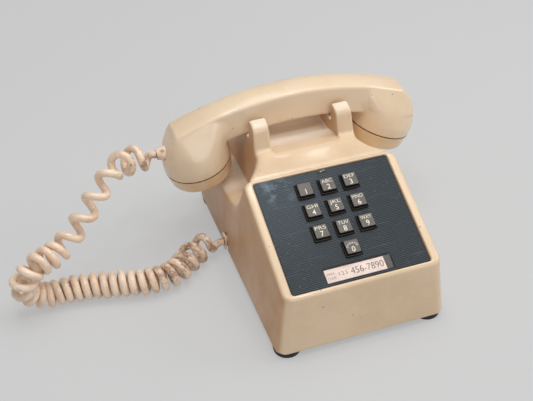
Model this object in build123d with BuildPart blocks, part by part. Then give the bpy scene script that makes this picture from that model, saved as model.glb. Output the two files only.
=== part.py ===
from build123d import *
from math import asin, cos, degrees, pi, radians, sin, sqrt, tan
import os

# Push-button desk telephone, handset on the cradle, in millimetres.
# X is the user's right, Y points to the back, Z is up, and the origin lies on the table under the
# middle of the base.

# ---------------------------------------------------------------- driving dimensions
# Base
base_width = 144.0
base_corner_r = 10.0
rim_corner_r = 8.0
wall = 2.8
foot_gap = 5.4  # height of the housing's lower edge above the table

# Sloping deck and the faceplate in it
deck_slope = 22.5
deck_in = 9.0  # from the front edge of the base to the deck
deck_front_z = 59.3
plate_width = 114.0
plate_length = 98.0
plate_t = 2.0
plate_gap = 0.4
rim_side = 8.0
rim_end = 4.0
rim_proud = 1.2
rim_round = 3.0
wedge_overlap = 30.0  # of the front half's foot under the rear half
rim_overlap = 2.0  # of the rear half into the rim
through = 5.0  # past a wall, for cuts that go through it
overcut = 20.0

# Rear body, shoulder and cradle tower
rear_draft = 5.0
cradle_run = 114.76  # from the deck's back edge to the back of the base
shoulder_drop = 41.0  # of the shoulders below the ledge
cove_drop = 3.0
shoulder_in = 32.0  # from the shoulder's cove back to the handset
tower_half = 44.0
tower_draft = 3.0
tower_overlap = 3.0  # of the brow into the rim
tower_sink = 15.0  # of the tower's foot below the shoulders
tower_tail = 12.0
brow_half = 60.0
brow_in = 36.0  # from the back of the brow to the handset
brow_round = 3.0
brow_turn = 4.0
ledge_rise = 2.67  # of the ledge above the deck's back edge
ledge_dip = 2.4
trough_lead = 7.0  # of the trough between the ears, ahead of the back of the brow
trough_drop = 8.0
trough_slant = 5.0
tower_in = 11.0  # from the tower's back edge to the back of the base

# Handset resting in the cradle
handset_in = 48.0  # from the handset's middle to the back of the base
handle_rise = 32.0  # of the handle's top above the ledge
handle_t = 24.2
handle_r = 260.0  # radius of the arc that the two top ridges follow
ridge_half = 12.0
crown = 1.8
belly_half = 15.0
mouth_ridge_x = 101.5
ear_ridge_x = 99.0

# Ears of the cradle
ear_inner_x = 29.0
ear_width = 14.0
ear_height = 21.0  # above the ledge
ear_r = 8.0
ear_gap = 4.0  # between an ear and the handle
ear_depth = 20.0
ear_slant = 9.0
ear_sink = 10.0
ear_front_drop = 3.0
ear_back_run = 3.0
ear_back_drop = 1.0
saddle_gap = 0.4
ear_round = 1.2

# Plungers and hook switch
plunger_x = 36.0
plunger_r = 4.0
plunger_play = 0.3
plunger_rise = 6.0
plunger_collar_r = 5.5
plunger_collar_t = 2.0
plunger_edge_r = 0.8
plunger_gap = 0.3

# Push-button dial
key_pitch = 19.05
key_hole = 14.4
key_hole_r = 0.8
key_play = 0.3
key_top_width = 11.3
key_top_length = 11.1
key_flare = 1.4  # of a key from its top down to its skirt
key_edge_r = 0.4
key_rise = 4.5
key_skirt_t = 5.0
key_skirt_drop = 0.8
key_travel = 3.0
key_stem = 5.0
key_stem_play = 0.2
bottom_row_drop = 23.4  # below the faceplate's middle
first_row_gap = 18.4
guide_width = 62.0
guide_length = 78.0
guide_depth = 12.5
guide_floor = 2.5
guide_play = 1.0
dial_screw_x = 40.0
dial_screw_v = 31.0
bracket_wing = 14.0
bracket_end = 4.0
bracket_rail = 4.0
bracket_cross = 7.0
post_in = 1.5
post_end = 11.0
board_end = 5.0
screw_clear = 4.0
bracket_t = 1.2
board_t = 1.6
board_clearance = 2.3  # above the dial board, with a key pressed
tone_coil_r = 11.0
tone_coil_x = 16.0
tone_coil_h = 12.0

# Number card
card_length = 51.6
card_height = 11.2
card_t = 0.4
window_length = 55.4
window_height = 12.2
window_t = 1.0
window_play = 0.2
window_v = 8.6
window_depth = 1.7

# Base plate, feet and screws
pan_t = 1.5
pan_z = 6.4
pan_margin = 1.6
pan_lip = 6.0
foot_r = 11.5
foot_in_x = 12.0
foot_in_y = 12.5
foot_play = 0.4
foot_stud_r = 4.0
foot_edge = 0.8
foot_collar = 3.0
boss_r = 5.0
boss_in_x = 26.0
front_boss_in = 25.0
rear_boss_in = 19.0
screw_r = 1.5
screw_head_r = 3.0
screw_head_t = 2.0
screw_length = 10.0
screw_play = 0.3
fit_play = 0.05  # radial, for pins and shafts that turn or are pressed in

# Ringer
gong_x = 33.0
gong_in = 53.0
gong_low_r = 25.0
gong_high_r = 24.0
gong_h = 15.0
gong_t = 1.5
gong_edge_r = 5.0
gong_top_z = 31.0
gong_post_r = 3.5
ringer_sheet = 1.5
ringer_depth = 22.0
ringer_foot_in = 6.0  # behind the gongs
ringer_foot_end = 7.0
ringer_step = 3.0
ringer_coil_in = 26.0  # behind the gongs
ringer_coil_z = 20.0
ringer_coil_r = 8.0
ringer_coil_length = 24.0
clapper_pin_in = 12.0  # behind the gongs
clapper_pin_r = 1.5
clapper_hub_r = 3.0
clapper_t = 4.0
clapper_ball_t = 6.0
clapper_arm = 2.0
clapper_pin_over = 6.0
clapper_ball_r = 3.5
clapper_z = 20.0

# Network block
network_in = 29.0
network_width = 60.0
network_length = 40.0
network_height = 26.0
network_ear = 8.0
network_ear_width = 10.0
terminal_in = 6.0
terminal_depth = 6.0
terminal_screw = 5.0
terminal_pitch = 9.0

# Hook switch
bail_gap = 0.3
bail_r = 2.0
bail_arm_x = 20.0
bail_arm_t = 3.0
bail_end = 4.0
bail_side_gap = 0.4
hook_reach = 15.0  # from the pivot to the bail
hook_pin_r = 1.5
hook_hub_r = 3.2
bracket_in = 25.0  # from the bracket to the handset
bracket_width = 50.0
bracket_foot = 12.0
bracket_drop = 6.0  # below the bail
bracket_tab = 20.0
pivot_over = 4.0
spring_block_width = 16.0
spring_block_height = 8.0
spring_block_depth = 10.0
spring_width = 5.0
spring_length = 28.0
spring_t = 0.4
spring_block_z = 58.0

# Volume wheel, showing through the base plate
wheel_x = 45.0
wheel_in = 36.0  # behind the gongs
wheel_z = 14.4
wheel_r = 11.0
wheel_t = 4.0
wheel_notches = 24
wheel_notch_r = 0.6
wheel_side_gap = 0.5
wheel_bracket_over = 4.0
wheel_bracket_width = 12.0
wheel_foot_width = 20.0
wheel_foot_length = 7.0

# Cord and line inlets
jack_depth = 7.0
jack_lip = 1.0
cord_hole_y = 25.0
cord_hole_z = 12.5
cord_hole_width = 9.0
cord_hole_top = 20.0
cord_face_out = 1.3
bushing_play = 0.4
bushing_lip = 1.0
jack_margin = 2.0
wire_d = 6.5
coil_d = 23.0
grommet_x = -45.0
grommet_z = 14.0
grommet_r = 5.0
grommet_bore_r = 3.0
grommet_length = 6.0

# Handset
cup_x = 83.0
seam_drop = 55.0  # of the cups' seams below the handle's top
cup_r = 29.0
mouth_tilt = 13.0
ear_tilt = 20.0
cap_t = 14.0
cap_draft = 9.0
cap_edge_r = 4.0
cap_wall = 2.5
seam_gap = 0.4
neck_r = 24.0
neck_t = 1.8
neck_h = 6.0
cup_cavity_r = 24.4
cup_cavity_h = 17.0
channel_r = 4.5
channel_in = 8.0
channel_length = 14.0
unit_gap = 0.3
cap_step = 0.2
neck_sink = 4.0
inner_ring_r = 7.0
inner_ring_holes = 6
outer_ring_r = 13.0
outer_ring_holes = 12
cup_ring_gap = 0.5
cup_ring_hole_r = 5.0
cup_ring_t = 2.0
gland_bore = 20.0
unit_r = 21.5
unit_t = 13.0
sound_hole_r = 1.1
ridge_round = 0.6
belly_round = 2.0
gland_drop = 40.5
gland_tip_x = -117.5
gland_base_x = -109.0
gland_base_r = 6.0
gland_tip_r = 4.5

# Cord route, from the base to the handset: a straight lead, the coiled length, a straight lead
lead = 8.0

deck_rise = sin(radians(deck_slope))
deck_run = cos(radians(deck_slope))
base_depth = deck_in + (plate_length + rim_end) * deck_run + cradle_run
base_front_y = -base_depth / 2
deck_front_y = base_front_y + deck_in
deck = Plane(
    origin=(0, deck_front_y, deck_front_z), x_dir=(1, 0, 0), z_dir=(0, -deck_rise, deck_run)
)
deck_up = Axis(deck.origin, deck.z_dir)
rim_width = plate_width + 2 * rim_side
rim_length = plate_length + 2 * rim_end
rim_back_y = deck_front_y + (plate_length + rim_end) * deck_run
rim_back_z = deck_front_z + (plate_length + rim_end) * deck_rise
handset_y = base_depth / 2 - handset_in
brow_back_y = handset_y - brow_in
shoulder_y = handset_y - shoulder_in
tower_back_y = base_depth / 2 - tower_in
ledge_z = rim_back_z + ledge_rise
ledge_front_z = ledge_z - ledge_dip
trough_z = ledge_z - trough_drop
shoulder_z = ledge_z - shoulder_drop
ear_top_z = ledge_z + ear_height
handle_top_z = ledge_z + handle_rise
seam_z = handle_top_z - seam_drop
gland_z = handle_top_z - gland_drop
ear_back_y = handset_y - belly_half - ear_gap
foot_x = base_width / 2 - foot_in_x
foot_y = base_depth / 2 - foot_in_y
boss_x = base_width / 2 - boss_in_x
front_boss_y = base_front_y + front_boss_in
rear_boss_y = base_depth / 2 - rear_boss_in
gong_y = base_front_y + gong_in
ringer_coil_y = gong_y + ringer_coil_in
clapper_pin_y = gong_y + clapper_pin_in
wheel_y = gong_y + wheel_in
network_y = base_depth / 2 - network_in
bracket_y = handset_y - bracket_in


def wedge_form(inset, top_w):
    """Front half of the base: its foot outline lofted up to the deck, at height top_w on it."""
    depth = rim_back_y - base_front_y + wedge_overlap
    with BuildPart() as form:
        with BuildSketch(Plane.XY.offset(foot_gap)):
            with Locations((0, base_front_y + depth / 2)):
                RectangleRounded(base_width - 2 * inset, depth - 2 * inset, base_corner_r - inset)
        with BuildSketch(deck.offset(top_w)):
            with Locations((0, plate_length / 2)):
                RectangleRounded(rim_width - 2 * inset, rim_length - 2 * inset, rim_corner_r - inset)
        loft(ruled=True)
        if not inset:
            fillet(form.faces().sort_by(deck_up)[-1].edges(), rim_round)
    return form.part


def rear_form(inset):
    """Rear half of the base, up to the shoulders that the handset's cups hang over."""
    with BuildPart() as form:
        with BuildSketch(Plane.XY.offset(foot_gap)):
            RectangleRounded(base_width - 2 * inset, base_depth - 2 * inset, base_corner_r - inset)
        with BuildSketch(Plane.XY.offset(rim_back_z)):
            RectangleRounded(
                rim_width - 2 * inset, base_depth - 2 * rear_draft - 2 * inset, rim_corner_r - inset
            )
        loft(ruled=True)
        with BuildSketch(Plane.YZ) as side:
            with BuildLine():
                front_y = rim_back_y - rim_overlap
                up = Line((front_y, foot_gap - overcut), (front_y, rim_back_z - cove_drop))
                cove = TangentArc((shoulder_y, shoulder_z), up @ 1, tangent=(-1, 0))
                Polyline(
                    cove @ 0, (base_depth, shoulder_z), (base_depth, foot_gap - overcut), up @ 0
                )
            make_face()
            if inset:
                offset(amount=-inset, kind=Kind.INTERSECTION)
        extrude(amount=base_width, both=True, mode=Mode.INTERSECT)
    return form.part


def tower_form(inset, with_ears):
    """The cradle tower behind the deck, with its four ears and two saddles if asked for."""
    foot_z = shoulder_z - tower_sink
    lead_y = brow_back_y - trough_lead
    brow_run = brow_back_y - rim_back_y + tower_overlap
    lead_z = ledge_z - ledge_dip * trough_lead / brow_run
    ledge = [(brow_back_y, ledge_z), (ear_back_y, ledge_z)] if with_ears else [(lead_y, lead_z)]
    flare = (ledge_z - foot_z) * tan(radians(tower_draft))
    with BuildPart() as stencil:
        with BuildSketch(Plane.YZ):
            with BuildLine():
                Polyline(
                    (rim_back_y - tower_overlap, foot_z - overcut),
                    (rim_back_y - tower_overlap, ledge_front_z),
                    *ledge,
                    (ear_back_y + trough_slant, trough_z),
                    (2 * handset_y - ear_back_y - trough_slant, trough_z),
                    (2 * handset_y - ear_back_y, ledge_z),
                    (tower_back_y, ledge_z),
                    (base_depth / 2 - rear_draft, shoulder_z),
                    (base_depth / 2 - rear_draft, foot_z - overcut),
                    close=True,
                )
            make_face()
            if inset:
                offset(amount=-inset, kind=Kind.INTERSECTION)
        extrude(amount=base_width, both=True)
        if with_ears:
            with BuildSketch(Plane.YZ.offset(-ear_inner_x)):
                with BuildLine():
                    Polyline(
                        (lead_y, lead_z),
                        (ear_back_y + trough_slant, trough_z),
                        (ear_back_y + trough_slant, ledge_z + through),
                        (lead_y, ledge_z + through),
                        close=True,
                    )
                make_face()
            extrude(amount=2 * ear_inner_x, mode=Mode.SUBTRACT)
            with BuildSketch(Plane.YZ.offset(ear_inner_x)) as ear:
                with BuildLine():
                    front = Line(
                        (ear_back_y - ear_depth, ledge_z - ear_sink),
                        (ear_back_y - ear_depth + ear_slant, ear_top_z - ear_front_drop),
                    )
                    Polyline(
                        front @ 1,
                        (ear_back_y - ear_back_run, ear_top_z),
                        (ear_back_y, ear_top_z - ear_back_drop),
                        (ear_back_y, trough_z - ear_sink),
                        (ear_back_y - ear_depth, trough_z - ear_sink),
                        front @ 0,
                    )
                make_face()
                corner = ear.vertices().sort_by(Axis.Y)[-3]
                fillet(corner, ear_r)
                mirror(about=Plane.XZ.offset(-handset_y))
                with Locations((handset_y, (trough_z - ear_sink + saddle_z) / 2)):
                    Rectangle(2 * (handset_y - ear_back_y), saddle_z - trough_z + ear_sink)
            extrude(amount=ear_width + overcut)
            mirror(about=Plane.YZ)
    with BuildPart() as form:
        with BuildSketch(Plane.XY.offset(foot_z)):
            with BuildLine():
                Polyline(
                    (0, rim_back_y - rim_overlap),
                    (brow_half + flare, rim_back_y - rim_overlap),
                    (tower_half + flare, brow_back_y - brow_turn),
                    (tower_half + flare, tower_back_y + tower_tail),
                    (0, tower_back_y + tower_tail),
                )
                mirror(about=Plane.YZ)
            make_face()
            if inset:
                offset(amount=-inset, kind=Kind.INTERSECTION)
        extrude(amount=ear_top_z + through - foot_z, taper=tower_draft)
        add(stencil.part, mode=Mode.INTERSECT)
        if with_ears:
            fillet(form.edges().filter_by(lambda e: e.center().Z > ledge_z + 1), ear_round)
            brow_sides = form.edges().filter_by(
                lambda e: e.center().Z > ledge_front_z and abs(e.center().X) > tower_half + brow_round
            )
            fillet(brow_sides, brow_round)
    return form.part


saddle_z = handle_top_z - handle_r + sqrt(
    (handle_r - handle_t) ** 2 - (ear_inner_x + ear_width) ** 2
) - saddle_gap

bottom_row_v = plate_length / 2 - bottom_row_drop
key_sites = {"key_0": (0.0, bottom_row_v)}
for digit in range(1, 10):
    row, column = divmod(digit - 1, 3)
    key_sites[f"key_{digit}"] = (
        (column - 1) * key_pitch,
        bottom_row_v + first_row_gap + (2 - row) * key_pitch,
    )

# ---------------------------------------------------------------- heights worked out from those
guide_v = (bottom_row_v + key_sites["key_1"][1]) / 2
seat_w = -plate_t
boss_end_w = -guide_depth
board_drop = key_travel + board_clearance
board_w = boss_end_w - bracket_t - board_drop
pan_top = pan_z + pan_t
pan_half_x = base_width / 2 - wall - pan_margin
pan_half_y = base_depth / 2 - wall - pan_margin
cord_face_x = -base_width / 2 - cord_face_out
corners = [(x, y) for x in (-1, 1) for y in (-1, 1)]
dial_screws_at = [(x * dial_screw_x, guide_v + y * dial_screw_v) for x, y in corners]
board_posts_at = [
    (x * (guide_width / 2 - post_in), guide_v + y * (guide_length / 2 - post_end)) for x, y in corners
]
pan_screws_at = [(x * boss_x, y) for x in (-1, 1) for y in (front_boss_y, rear_boss_y)]


def at_sites(sites):
    """Locations of the keys in a sketch on the deck."""
    return Locations(*[sites[name] for name in sorted(sites)])


# ---------------------------------------------------------------- housing
with BuildPart() as housing:
    add(wedge_form(0, rim_proud))
    add(rear_form(0))
    add(tower_form(0, True))
    # hollow, open underneath
    add(wedge_form(wall, seat_w - wall), mode=Mode.SUBTRACT)
    add(rear_form(wall), mode=Mode.SUBTRACT)
    add(tower_form(wall, False), mode=Mode.SUBTRACT)
    # recess for the faceplate and the opening for the dial
    with BuildSketch(deck.offset(seat_w)):
        with Locations((0, plate_length / 2)):
            Rectangle(plate_width + 2 * plate_gap, plate_length + 2 * plate_gap)
    extrude(amount=plate_t + rim_proud + through, mode=Mode.SUBTRACT)
    with BuildSketch(deck.offset(seat_w)):
        with Locations((0, guide_v)):
            Rectangle(guide_width + 2 * guide_play, guide_length + 2 * guide_play)
    extrude(amount=-wall - 2, mode=Mode.SUBTRACT)
    # bosses for the dial bracket, under the deck
    with BuildSketch(deck.offset(boss_end_w)):
        with Locations(*dial_screws_at):
            Circle(boss_r - 1)
            Circle(screw_r + fit_play, mode=Mode.SUBTRACT)
    extrude(amount=guide_depth - plate_t - wall / 2)
    # bosses that stand on the base plate
    with BuildSketch(Plane.XY.offset(pan_top)):
        with Locations(*pan_screws_at):
            Circle(boss_r)
            Circle(screw_r + fit_play, mode=Mode.SUBTRACT)
    extrude(until=Until.NEXT)
    # plunger guides through the saddles
    with BuildSketch(Plane.XY.offset(trough_z - wall - 1)):
        with Locations(*[(x * plunger_x, handset_y) for x in (-1, 1)]):
            Circle(plunger_r + plunger_play)
    extrude(amount=saddle_z, mode=Mode.SUBTRACT)
    # cord opening at the left edge and the round line inlet at the back
    with BuildSketch(Plane.YZ.offset(-base_width / 2 - 1)):
        with Locations((cord_hole_y, cord_hole_top / 2)):
            RectangleRounded(cord_hole_width, cord_hole_top, cord_hole_width / 2 - 0.1)
        with Locations((cord_hole_y, cord_hole_top / 4)):
            Rectangle(cord_hole_width, cord_hole_top / 2)
    extrude(amount=wall + through, mode=Mode.SUBTRACT)
    with BuildSketch(Plane.XZ.offset(-base_depth / 2 - 1)):
        with Locations((grommet_x, grommet_z)):
            Circle(grommet_r)
    extrude(amount=wall + through, mode=Mode.SUBTRACT)

# ---------------------------------------------------------------- base plate, feet and screws
with BuildPart() as base_plate:
    with BuildSketch(Plane.XY.offset(pan_z)):
        RectangleRounded(2 * pan_half_x, 2 * pan_half_y, base_corner_r - wall - pan_margin)
    extrude(amount=pan_lip)
    with BuildSketch(Plane.XY.offset(pan_top)):
        RectangleRounded(
            2 * (pan_half_x - pan_t),
            2 * (pan_half_y - pan_t),
            base_corner_r - wall - pan_margin - pan_t,
        )
    extrude(amount=pan_lip, mode=Mode.SUBTRACT)
    with BuildSketch(Plane.XY.offset(pan_z)):
        with Locations(*[(x * foot_x, y * foot_y) for x, y in corners]):
            Circle(foot_stud_r + fit_play)
        with Locations(*pan_screws_at):
            Circle(screw_r + screw_play)
        with Locations((wheel_x, wheel_y)):
            Rectangle(2 * wheel_r + 2, wheel_t + 2)
    extrude(amount=pan_t, mode=Mode.SUBTRACT)
    with BuildSketch(Plane.XY.offset(pan_z)):
        with Locations((-pan_half_x, cord_hole_y)):
            Rectangle(2 * jack_depth, cord_hole_width + 2 * jack_margin)
        with Locations((grommet_x, pan_half_y)):
            Rectangle(2 * grommet_r + 2, 2 * pan_t + 1)
    extrude(amount=pan_lip, mode=Mode.SUBTRACT)

feet = {}
for side_x, x in (("left", -foot_x), ("right", foot_x)):
    for side_y, y in (("front", -foot_y), ("rear", foot_y)):
        with BuildPart() as foot:
            with BuildSketch(Plane.XY):
                with Locations((x, y)):
                    Circle(foot_r - foot_edge)
            with BuildSketch(Plane.XY.offset(foot_gap - foot_play)):
                with Locations((x, y)):
                    Circle(foot_r)
            loft()
            with BuildSketch(Plane.XY.offset(foot_gap - foot_play)):
                with Locations((x, y)):
                    Circle(foot_stud_r + foot_collar)
            extrude(amount=pan_z - foot_gap + foot_play)
            with BuildSketch(Plane.XY.offset(pan_z)):
                with Locations((x, y)):
                    Circle(foot_stud_r)
            extrude(amount=pan_t + 2)
        feet[f"foot_{side_y}_{side_x}"] = foot

with BuildPart() as housing_screws:
    with BuildSketch(Plane.XY.offset(pan_z)):
        with Locations(*pan_screws_at):
            Circle(screw_head_r)
    extrude(amount=-screw_head_t)
    with BuildSketch(Plane.XY.offset(pan_z)):
        with Locations(*pan_screws_at):
            Circle(screw_r)
    extrude(amount=screw_length)

# ---------------------------------------------------------------- cord and line inlets
with BuildPart() as cord_bushing:
    with BuildSketch(Plane.YZ.offset(cord_face_x + jack_lip)):
        with Locations((cord_hole_y, (pan_top + cord_hole_top) / 2)):
            RectangleRounded(
                cord_hole_width - bushing_play,
                cord_hole_top - pan_top - bushing_play,
                cord_hole_width / 2 - bushing_play,
            )
    extrude(amount=jack_depth)
    with BuildSketch(Plane.YZ.offset(cord_face_x)):
        with Locations((cord_hole_y, (foot_gap + cord_hole_top + bushing_lip) / 2)):
            RectangleRounded(
                cord_hole_width + 2, cord_hole_top - foot_gap + 2, cord_hole_width / 2 + 0.8
            )
    extrude(amount=jack_lip)

with BuildPart() as line_grommet:
    with BuildSketch(Plane.XZ.offset(-base_depth / 2)):
        with Locations((grommet_x, grommet_z)):
            Circle(grommet_r - fit_play)
            Circle(grommet_bore_r, mode=Mode.SUBTRACT)
    extrude(amount=grommet_length)

# ---------------------------------------------------------------- faceplate, card and window
with BuildPart() as faceplate:
    with BuildSketch(deck.offset(seat_w)):
        with Locations((0, plate_length / 2)):
            Rectangle(plate_width, plate_length)
        with at_sites(key_sites):
            RectangleRounded(key_hole, key_hole, key_hole_r, mode=Mode.SUBTRACT)
    extrude(amount=plate_t)
    with BuildSketch(deck):
        with Locations((0, window_v)):
            Rectangle(window_length, window_height)
    extrude(amount=-window_depth, mode=Mode.SUBTRACT)

with BuildPart() as number_card:
    with BuildSketch(deck.offset(-window_depth)):
        with Locations((-(window_length - card_length) / 2 + window_play, window_v)):
            Rectangle(card_length, card_height)
    extrude(amount=card_t)

with BuildPart() as card_window:
    with BuildSketch(deck.offset(-window_depth + card_t)):
        with Locations((0, window_v)):
            Rectangle(window_length - 2 * window_play, window_height - 2 * window_play)
    extrude(amount=window_t)

# ---------------------------------------------------------------- dial
with BuildPart() as key_guide:
    with BuildSketch(deck.offset(seat_w)):
        with Locations((0, guide_v)):
            Rectangle(guide_width, guide_length)
        with at_sites(key_sites):
            RectangleRounded(key_hole, key_hole, key_hole_r, mode=Mode.SUBTRACT)
    extrude(amount=-guide_depth + plate_t + guide_floor)
    with BuildSketch(deck.offset(-guide_depth)):
        with Locations((0, guide_v)):
            Rectangle(guide_width, guide_length)
        with at_sites(key_sites):
            Rectangle(key_stem + 2 * key_stem_play, key_stem + 2 * key_stem_play, mode=Mode.SUBTRACT)
    extrude(amount=guide_floor)

keys = {}
for name, site in key_sites.items():
    with BuildPart() as key:
        with BuildSketch(deck.offset(-key_skirt_drop - key_skirt_t)):
            with Locations(site):
                RectangleRounded(
                    key_hole - 2 * key_play, key_hole - 2 * key_play, key_hole_r - key_play / 2
                )
        extrude(amount=key_skirt_t)
        with BuildSketch(deck.offset(-key_skirt_drop)):
            with Locations(site):
                RectangleRounded(key_top_width + key_flare, key_top_length + key_flare, key_hole_r)
        with BuildSketch(deck.offset(key_rise)):
            with Locations(site):
                RectangleRounded(key_top_width, key_top_length, key_hole_r)
        loft(ruled=True)
        fillet(key.faces().sort_by(deck_up)[-1].edges(), key_edge_r)
        with BuildSketch(deck.offset(-guide_depth - 2)):
            with Locations(site):
                Rectangle(key_stem, key_stem)
        extrude(amount=guide_depth + 2 - key_skirt_drop - key_skirt_t)
    keys[name] = key

with BuildPart() as dial_bracket:
    with BuildSketch(deck.offset(boss_end_w)):
        with Locations((0, guide_v)):
            Rectangle(guide_width + 2 * bracket_wing, guide_length - 2 * bracket_end)
            Rectangle(
                guide_width - 2 * bracket_rail, guide_length - 2 * bracket_cross, mode=Mode.SUBTRACT
            )
        with Locations(*dial_screws_at):
            Circle(screw_r + fit_play, mode=Mode.SUBTRACT)
    extrude(amount=-bracket_t)
    with BuildSketch(deck.offset(boss_end_w - bracket_t)):
        with Locations(*board_posts_at):
            Circle(2.0)
    extrude(amount=-board_drop)

with BuildPart() as dial_screws:
    with BuildSketch(deck.offset(boss_end_w - bracket_t)):
        with Locations(*dial_screws_at):
            Circle(screw_head_r)
    extrude(amount=-screw_head_t)
    with BuildSketch(deck.offset(boss_end_w - bracket_t)):
        with Locations(*dial_screws_at):
            Circle(screw_r)
    extrude(amount=bracket_t + screw_length - screw_clear)

with BuildPart() as dial_board:
    with BuildSketch(deck.offset(board_w)):
        with Locations((0, guide_v)):
            Rectangle(guide_width, guide_length - 2 * board_end)
    extrude(amount=-board_t)

with BuildPart() as tone_coils:
    with BuildSketch(deck.offset(board_w - board_t)):
        with Locations(*[(x * tone_coil_x, guide_v) for x in (-1, 1)]):
            Circle(tone_coil_r)
            Circle(2.0, mode=Mode.SUBTRACT)
    extrude(amount=-tone_coil_h)

# ---------------------------------------------------------------- ringer
post_top_z = gong_top_z - gong_t
coil_end_x = ringer_coil_length / 2
with BuildPart() as ringer_frame:
    with BuildSketch(Plane.XY.offset(pan_top)):
        with Locations((0, gong_y + ringer_foot_in)):
            Rectangle(2 * (gong_x + ringer_foot_end), ringer_depth)
        with Locations((0, ringer_coil_y)):
            Rectangle(2 * (coil_end_x + ringer_sheet), ringer_depth - 2 * ringer_step)
    extrude(amount=ringer_sheet)
    with BuildSketch(Plane.XY.offset(pan_top)):
        with Locations((-gong_x, gong_y), (gong_x, gong_y)):
            Circle(gong_post_r)
    extrude(amount=post_top_z - pan_top)
    with BuildSketch(Plane.XY.offset(pan_top)):
        with Locations((0, clapper_pin_y)):
            Circle(clapper_pin_r)
    extrude(amount=clapper_z - pan_top + clapper_pin_over)
    for x in (-coil_end_x - ringer_sheet, coil_end_x):
        with BuildSketch(Plane.YZ.offset(x)):
            with Locations((ringer_coil_y, (pan_top + ringer_coil_z + ringer_coil_r) / 2)):
                Rectangle(ringer_coil_r * 2, ringer_coil_z + ringer_coil_r - pan_top)
        extrude(amount=ringer_sheet)
    with BuildSketch(Plane.XY.offset(post_top_z - screw_length)):
        with Locations((-gong_x, gong_y), (gong_x, gong_y)):
            Circle(screw_r + fit_play)
    extrude(amount=screw_length, mode=Mode.SUBTRACT)

with BuildPart() as ringer_coil:
    with BuildSketch(Plane.YZ.offset(-coil_end_x)):
        with Locations((ringer_coil_y, ringer_coil_z)):
            Circle(ringer_coil_r)
    extrude(amount=ringer_coil_length)

gongs = {}
for name, x, r in (("gong_low", -gong_x, gong_low_r), ("gong_high", gong_x, gong_high_r)):
    with BuildPart() as gong:
        with BuildSketch(Plane.XY.offset(gong_top_z - gong_h)):
            with Locations((x, gong_y)):
                Circle(r)
        extrude(amount=gong_h)
        fillet(gong.faces().sort_by(Axis.Z)[-1].edges(), gong_edge_r)
        offset(amount=-gong_t, openings=gong.faces().sort_by(Axis.Z)[0])
        with BuildSketch(Plane.XY.offset(gong_top_z - gong_t)):
            with Locations((x, gong_y)):
                Circle(screw_r + fit_play)
        extrude(amount=gong_t, mode=Mode.SUBTRACT)
    gongs[name] = gong

with BuildPart() as gong_screws:
    with BuildSketch(Plane.XY.offset(gong_top_z)):
        with Locations((-gong_x, gong_y), (gong_x, gong_y)):
            Circle(screw_head_r + 1)
    extrude(amount=screw_head_t)
    with BuildSketch(Plane.XY.offset(gong_top_z)):
        with Locations((-gong_x, gong_y), (gong_x, gong_y)):
            Circle(screw_r)
    extrude(amount=-screw_length + 1)

with BuildPart() as clapper:
    with BuildSketch(Plane.XY.offset(clapper_z - clapper_t / 2)):
        with Locations((0, clapper_pin_y)):
            Circle(clapper_hub_r)
        with Locations((0, (clapper_pin_y + gong_y) / 2)):
            Rectangle(clapper_arm, clapper_pin_y - gong_y)
        with Locations((0, clapper_pin_y)):
            Circle(clapper_pin_r + fit_play, mode=Mode.SUBTRACT)
    extrude(amount=clapper_t)
    with BuildSketch(Plane.XY.offset(clapper_z - clapper_ball_t / 2)):
        with Locations((0, gong_y)):
            Circle(clapper_ball_r)
    extrude(amount=clapper_ball_t)

# ---------------------------------------------------------------- network block
terminals_at = [
    (side * (network_width / 2 - terminal_in), network_y + (i - 1.5) * terminal_pitch)
    for side in (-1, 1)
    for i in range(4)
]
with BuildPart() as network_block:
    with BuildSketch(Plane.XY.offset(pan_top)):
        with Locations((0, network_y)):
            Rectangle(network_width, network_length)
        with Locations((0, network_y)):
            Rectangle(network_width + 2 * network_ear, network_ear_width)
    extrude(amount=ringer_sheet)
    with BuildSketch(Plane.XY.offset(pan_top + ringer_sheet)):
        with Locations((0, network_y)):
            Rectangle(network_width, network_length)
    extrude(amount=network_height)
    with BuildSketch(Plane.XY.offset(pan_top + ringer_sheet + network_height - terminal_depth)):
        with Locations(*terminals_at):
            Circle(screw_r + fit_play)
    extrude(amount=terminal_depth, mode=Mode.SUBTRACT)

with BuildPart() as network_terminals:
    with BuildSketch(Plane.XY.offset(pan_top + ringer_sheet + network_height)):
        with Locations(*terminals_at):
            Circle(screw_head_r)
    extrude(amount=screw_head_t)
    with BuildSketch(Plane.XY.offset(pan_top + ringer_sheet + network_height)):
        with Locations(*terminals_at):
            Circle(screw_r)
    extrude(amount=-terminal_screw)

# ---------------------------------------------------------------- plungers and hook switch
plunger_top_z = (
    handle_top_z
    - handle_r
    + sqrt((handle_r - handle_t) ** 2 - (plunger_x + plunger_r) ** 2)
    - plunger_gap
)
collar_top_z = trough_z - wall - plunger_rise - plunger_gap
bail_z = collar_top_z - plunger_collar_t - bail_gap - bail_r
hook_y = handset_y - hook_reach

plungers = {}
for name, x in (("plunger_left", -plunger_x), ("plunger_right", plunger_x)):
    with BuildPart() as plunger:
        with BuildSketch(Plane.XY.offset(collar_top_z - plunger_collar_t)):
            with Locations((x, handset_y)):
                Circle(plunger_r)
        extrude(amount=plunger_top_z - collar_top_z + plunger_collar_t)
        fillet(plunger.faces().sort_by(Axis.Z)[-1].edges(), plunger_edge_r)
        with BuildSketch(Plane.XY.offset(collar_top_z - plunger_collar_t)):
            with Locations((x, handset_y)):
                Circle(plunger_collar_r)
        extrude(amount=plunger_collar_t)
    plungers[name] = plunger

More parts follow.
